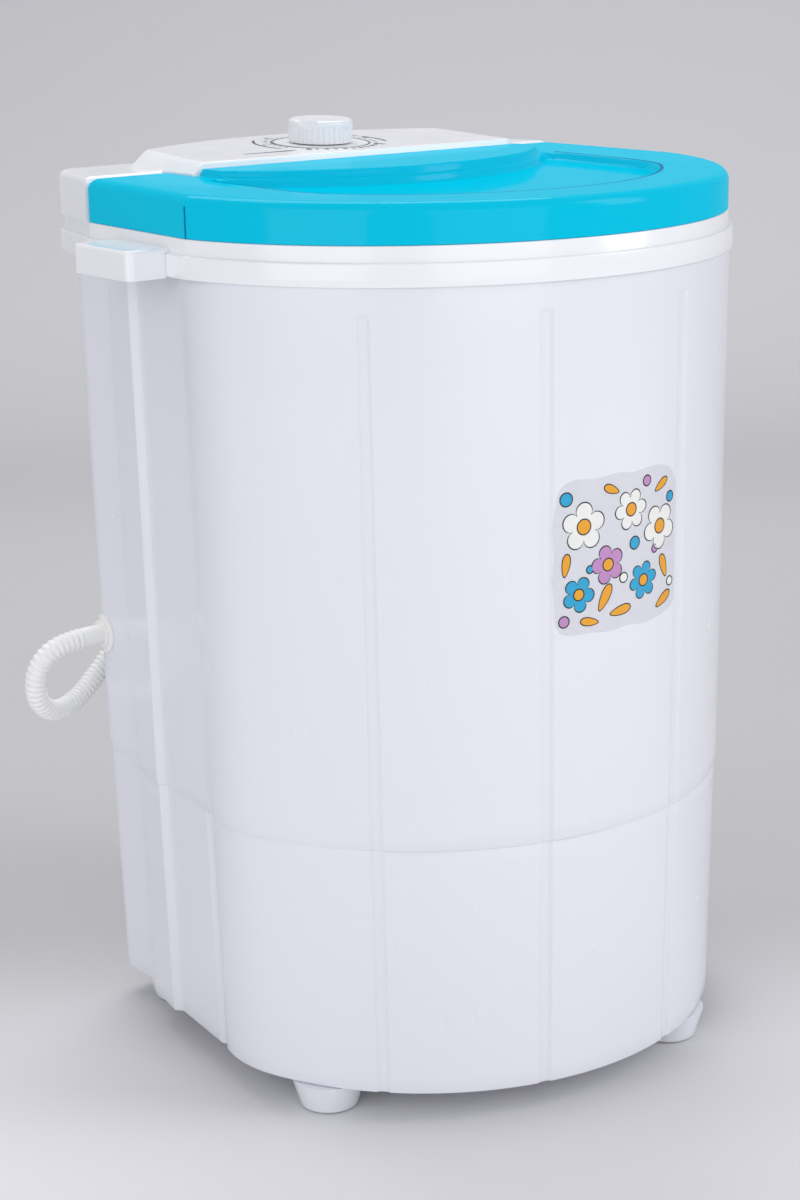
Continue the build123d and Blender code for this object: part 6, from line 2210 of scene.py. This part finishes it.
@dataclass
class DialPrint:
    """Scale printed round the timer knob: rings, minute ticks, plain numerals and a pointer stroke.

    Each arc is given by its radius, its width, and its start and end in degrees.
    """

    panel: ControlPanel = field(default_factory=ControlPanel)
    disc: float = 27.4
    disc_bore: float = 8.0
    disc_thickness: float = 0.12
    thickness: float = 0.06
    gap: float = 0.03
    arcs: tuple[tuple[float, float, float, float], ...] = (
        (29.6, 1.1, 212, 508), (29.6, 2.3, 149, 211), (40.6, 1.7, 138, 200), (40.6, 1.7, -22, 16),
        (40.6, 1.2, 20, 62),
    )
    ticks: int = 31
    tick_r: float = 33.6
    dashes: int = 11
    dash_r: float = 34.2
    numerals: tuple[str, ...] = ("0", "3", "6", "9", "12", "15")
    numeral_r: float = 37.4
    numeral_size: float = 1.5
    stroke_width: float = 0.36
    first_angle: float = 225.0
    pointer: tuple[Point2, ...] = (
        (-72.0, -25.6), (-40.0, -26.4), (-35.0, -24.8), (-36.0, -23.8), (-42.0, -23.6), (-72.0, -24.6),
    )
    cell: float = 3.0
    ink: InkFinish = InkFinish("dial_ink", (0.05, 0.055, 0.075), 0.4)
    pale: InkFinish = InkFinish("dial_pale", (0.86, 0.86, 0.9), 0.3)

    def _onto(self, x: float, y: float, lift: float) -> Vector:
        """Lay a place on the tilted face, about the knob."""
        tilt = math.radians(self.panel.tilt)
        return place(
            x, self.panel.dial[0] + y * math.cos(tilt) - lift * math.sin(tilt),
            self.panel.dial[1] + y * math.sin(tilt) + lift * math.cos(tilt) + self.gap,
        )

    def _numeral(self, ink: Print, digits: str, angle: float) -> None:
        """Add a plain seven-stroke numeral that stands upright on the scale."""
        strokes = {"0": "abcdef", "1": "bc", "2": "abged", "3": "abgcd", "5": "afgcd", "6": "afgedc",
                   "9": "abcdfg"}
        shapes = {"a": (0, 1, 0), "d": (0, -1, 0), "g": (0, 0, 0), "b": (0.5, 0.5, 90), "c": (0.5, -0.5, 90),
                  "e": (-0.5, -0.5, 90), "f": (-0.5, 0.5, 90)}
        size, width = self.numeral_size, self.stroke_width
        cx = self.numeral_r * math.cos(math.radians(angle))
        cy = self.numeral_r * math.sin(math.radians(angle))
        for k, digit in enumerate(digits):
            x0 = cx + (k - (len(digits) - 1) / 2) * size * 1.5
            for stroke in strokes[digit]:
                sx, sy, turn = shapes[stroke]
                ink.fill(bar(x0 + sx * size, cy + sy * size, turn, size + 0.32, width), self.cell)

    def build(self) -> None:
        """Build the printed layers."""
        dark = Print(self._onto, self.thickness)
        for radius, width, start, end in self.arcs:
            dark.fill(band_arc(radius, width, start, end), 1.6)
        for k in range(self.ticks):
            length, width = (1.5, 0.6) if k % 3 else (2.6, 0.9)
            dark.fill(spoke(self.tick_r, self.first_angle - k * 9, length, width), self.cell)
        for k in range(self.dashes):
            dark.fill(spoke(self.dash_r, 222 + k * 9.6, 3.4, 1.5 if k % 2 else 2.4), self.cell)
        for k, digits in enumerate(self.numerals):
            self._numeral(dark, digits, self.first_angle - k * 54)
        dark.fill(self.pointer, self.cell)
        dark.build("dial_scale_print", Slot.RIM, self.ink)
        pale = Print(self._onto, self.disc_thickness)
        pale.fill(circle(0, 0, self.disc), 2.4, holes=[circle(0, 0, self.disc_bore)])
        pale.build("dial_raised_disc", Slot.RIM, self.pale)


@dataclass
class Sticker:
    """Clear film on the round front with plain flowers, leaves and bubbles, in colours like the photograph's.

    Places are across from the film's middle and up from it. A flower has its place, radius, petals, turn and
    ink, a leaf its place, length, width and angle in degrees, and a bubble its place, radius and ink.
    """

    half_width: float = 43.0
    low: float = 280.0
    high: float = 363.0
    thickness: float = 0.05
    gap: float = 0.05
    lift: float = 0.06
    heart_lift: float = 0.07
    heart_share: float = 0.3
    outline: float = 0.7
    film_cell: float = 2.4
    cell: float = 1.8
    film: InkFinish = InkFinish("sticker_film", (0.86, 0.865, 0.9), 0.12, 0.22)
    inks: tuple[InkFinish, ...] = (
        InkFinish("sticker_white", (0.88, 0.88, 0.86), 0.22),
        InkFinish("sticker_amber", (0.86, 0.38, 0.02), 0.22),
        InkFinish("sticker_blue", (0.02, 0.38, 0.66), 0.22),
        InkFinish("sticker_mauve", (0.55, 0.27, 0.56), 0.22),
        InkFinish("sticker_black", (0.015, 0.015, 0.018), 0.25),
    )
    flowers: tuple[tuple[float, float, float, int, float, int], ...] = (
        (-26, 17, 13.0, 5, 0.3, 0), (6, 22, 11.0, 6, 0.1, 0), (29, 9, 12.5, 5, 0.9, 0),
        (-10, -6, 10.5, 5, 0.6, 3), (16, -19, 10.0, 6, 0.2, 2), (-29, -20, 9.5, 5, 1.1, 2),
    )
    leaves: tuple[tuple[float, float, float, float, float], ...] = (
        (-12, -24, 15, 7.0, 62), (-1, -33, 14, 6.0, 8), (33, -14, 13, 6.0, 108), (-37, -3, 12, 5.5, 82),
        (30, 32, 11, 5.0, 30), (-8, 35, 10, 5.0, 158), (33, -33, 13, 6.0, 30), (-22, -36, 11, 5.0, 170),
    )
    bubbles: tuple[tuple[float, float, float, int], ...] = (
        (-37, 33, 3.4, 2), (18, 36, 2.6, 3), (-38, -34, 2.8, 3), (9, 3, 3.2, 2), (38, 24, 2.6, 2),
        (1, -15, 2.4, 0), (25, -3, 1.9, 3), (-22, -7, 1.8, 2), (39, -24, 2.2, 0),
    )

    def _onto(self, x: float, z: float, lift: float) -> Vector:
        """Lay a place on the drafted round front."""
        front = PLAN.front_r + PLAN.grow(z, True)
        radius, angle = front + self.gap + lift, x / front
        return place(radius * math.sin(angle), -radius * math.cos(angle), z)

    @staticmethod
    def _flower(x: float, z: float, size: float, petals: int, turn: float, grow: float) -> list[Point2]:
        """Closed outline of a rounded flower, pushed outward by grow."""
        out: list[Point2] = []
        steps = petals * 16
        for k in range(steps):
            a = 2 * math.pi * k / steps
            r = size * (0.56 + 0.44 * abs(math.cos(petals * a / 2)) ** 0.6) + grow
            out.append((x + r * math.cos(a + turn), z + r * math.sin(a + turn)))
        return out

    @staticmethod
    def _leaf(x: float, z: float, length: float, width: float, angle: float, grow: float) -> list[Point2]:
        """Closed outline of a leaf, pushed outward by grow."""
        a = math.radians(angle)
        out: list[Point2] = []
        steps = 28
        for k in range(steps):
            t = 2 * math.pi * k / steps
            u = (length / 2 + grow) * math.cos(t)
            v = (width / 2 + grow) * math.sin(t) * (0.55 + 0.45 * math.cos(t / 2) ** 2)
            out.append((x + u * math.cos(a) - v * math.sin(a), z + u * math.sin(a) + v * math.cos(a)))
        return out

    def _shapes(self) -> list[tuple[int, float, Callable[[float], list[Point2]]]]:
        """Each motif as an ink number, a lift and an outline that can be pushed outward."""
        middle = (self.low + self.high) / 2
        amber = 1
        shapes: list[tuple[int, float, Callable[[float], list[Point2]]]] = []
        for x, z, size, petals, turn, ink in self.flowers:
            shapes += [
                (ink, self.lift, lambda g, a=(x, middle + z, size, petals, turn): self._flower(*a, g)),
                (amber, self.lift + self.heart_lift,
                 lambda g, a=(x, middle + z, size * self.heart_share): circle(a[0], a[1], a[2] + g, 0.6)),
            ]
        for x, z, *form in self.leaves:
            shapes.append((amber, self.lift, lambda g, a=(x, middle + z, *form): self._leaf(*a, g)))
        for x, z, size, ink in self.bubbles:
            shapes.append(
                (ink, self.lift, lambda g, a=(x, middle + z, size): circle(a[0], a[1], a[2] + g, 0.6)))
        return shapes

    def _film_outline(self) -> list[Point2]:
        """Closed outline of the film with a wavy cut edge."""
        squareness, steps = 7, 180
        middle, half_height = (self.low + self.high) / 2, (self.high - self.low) / 2
        out: list[Point2] = []
        for k in range(steps):
            a = 2 * math.pi * k / steps
            x, z = math.cos(a), math.sin(a)
            r = (abs(x) ** squareness + abs(z) ** squareness) ** (-1 / squareness)
            r *= 1.035 + 0.014 * math.cos(11 * a + 0.6)
            out.append((self.half_width * r * x, middle + half_height * r * z))
        return out

    def build(self) -> None:
        """Build the film and the printed layers."""
        film = Print(self._onto, self.thickness)
        film.fill(self._film_outline(), self.film_cell)
        film.build("sticker_film", Slot.SHELL, self.film)
        layers = [Print(self._onto, self.thickness) for _ in self.inks]
        for ink, lift, shape in self._shapes():
            layers[-1].fill(shape(self.outline), self.cell, lift, [shape(-0.05)])
            layers[ink].fill(shape(-0.02), self.cell, lift + 0.002)
        for ink, layer in zip(self.inks, layers):
            layer.build(ink.name, Slot.SHELL, ink)


def main() -> None:
    """Build every piece, the studio and the camera."""
    PhotoCamera().build()
    Studio().build()
    CarriedNodes().dress_all()
    UpperCasing().build()
    BaseHousing().build()
    TopRim().build()
    Lid().build()
    ControlPanel().build()
    DialPrint().build()
    Sticker().build()
    DrainHose().build()


if __name__ == "__main__":
    main()
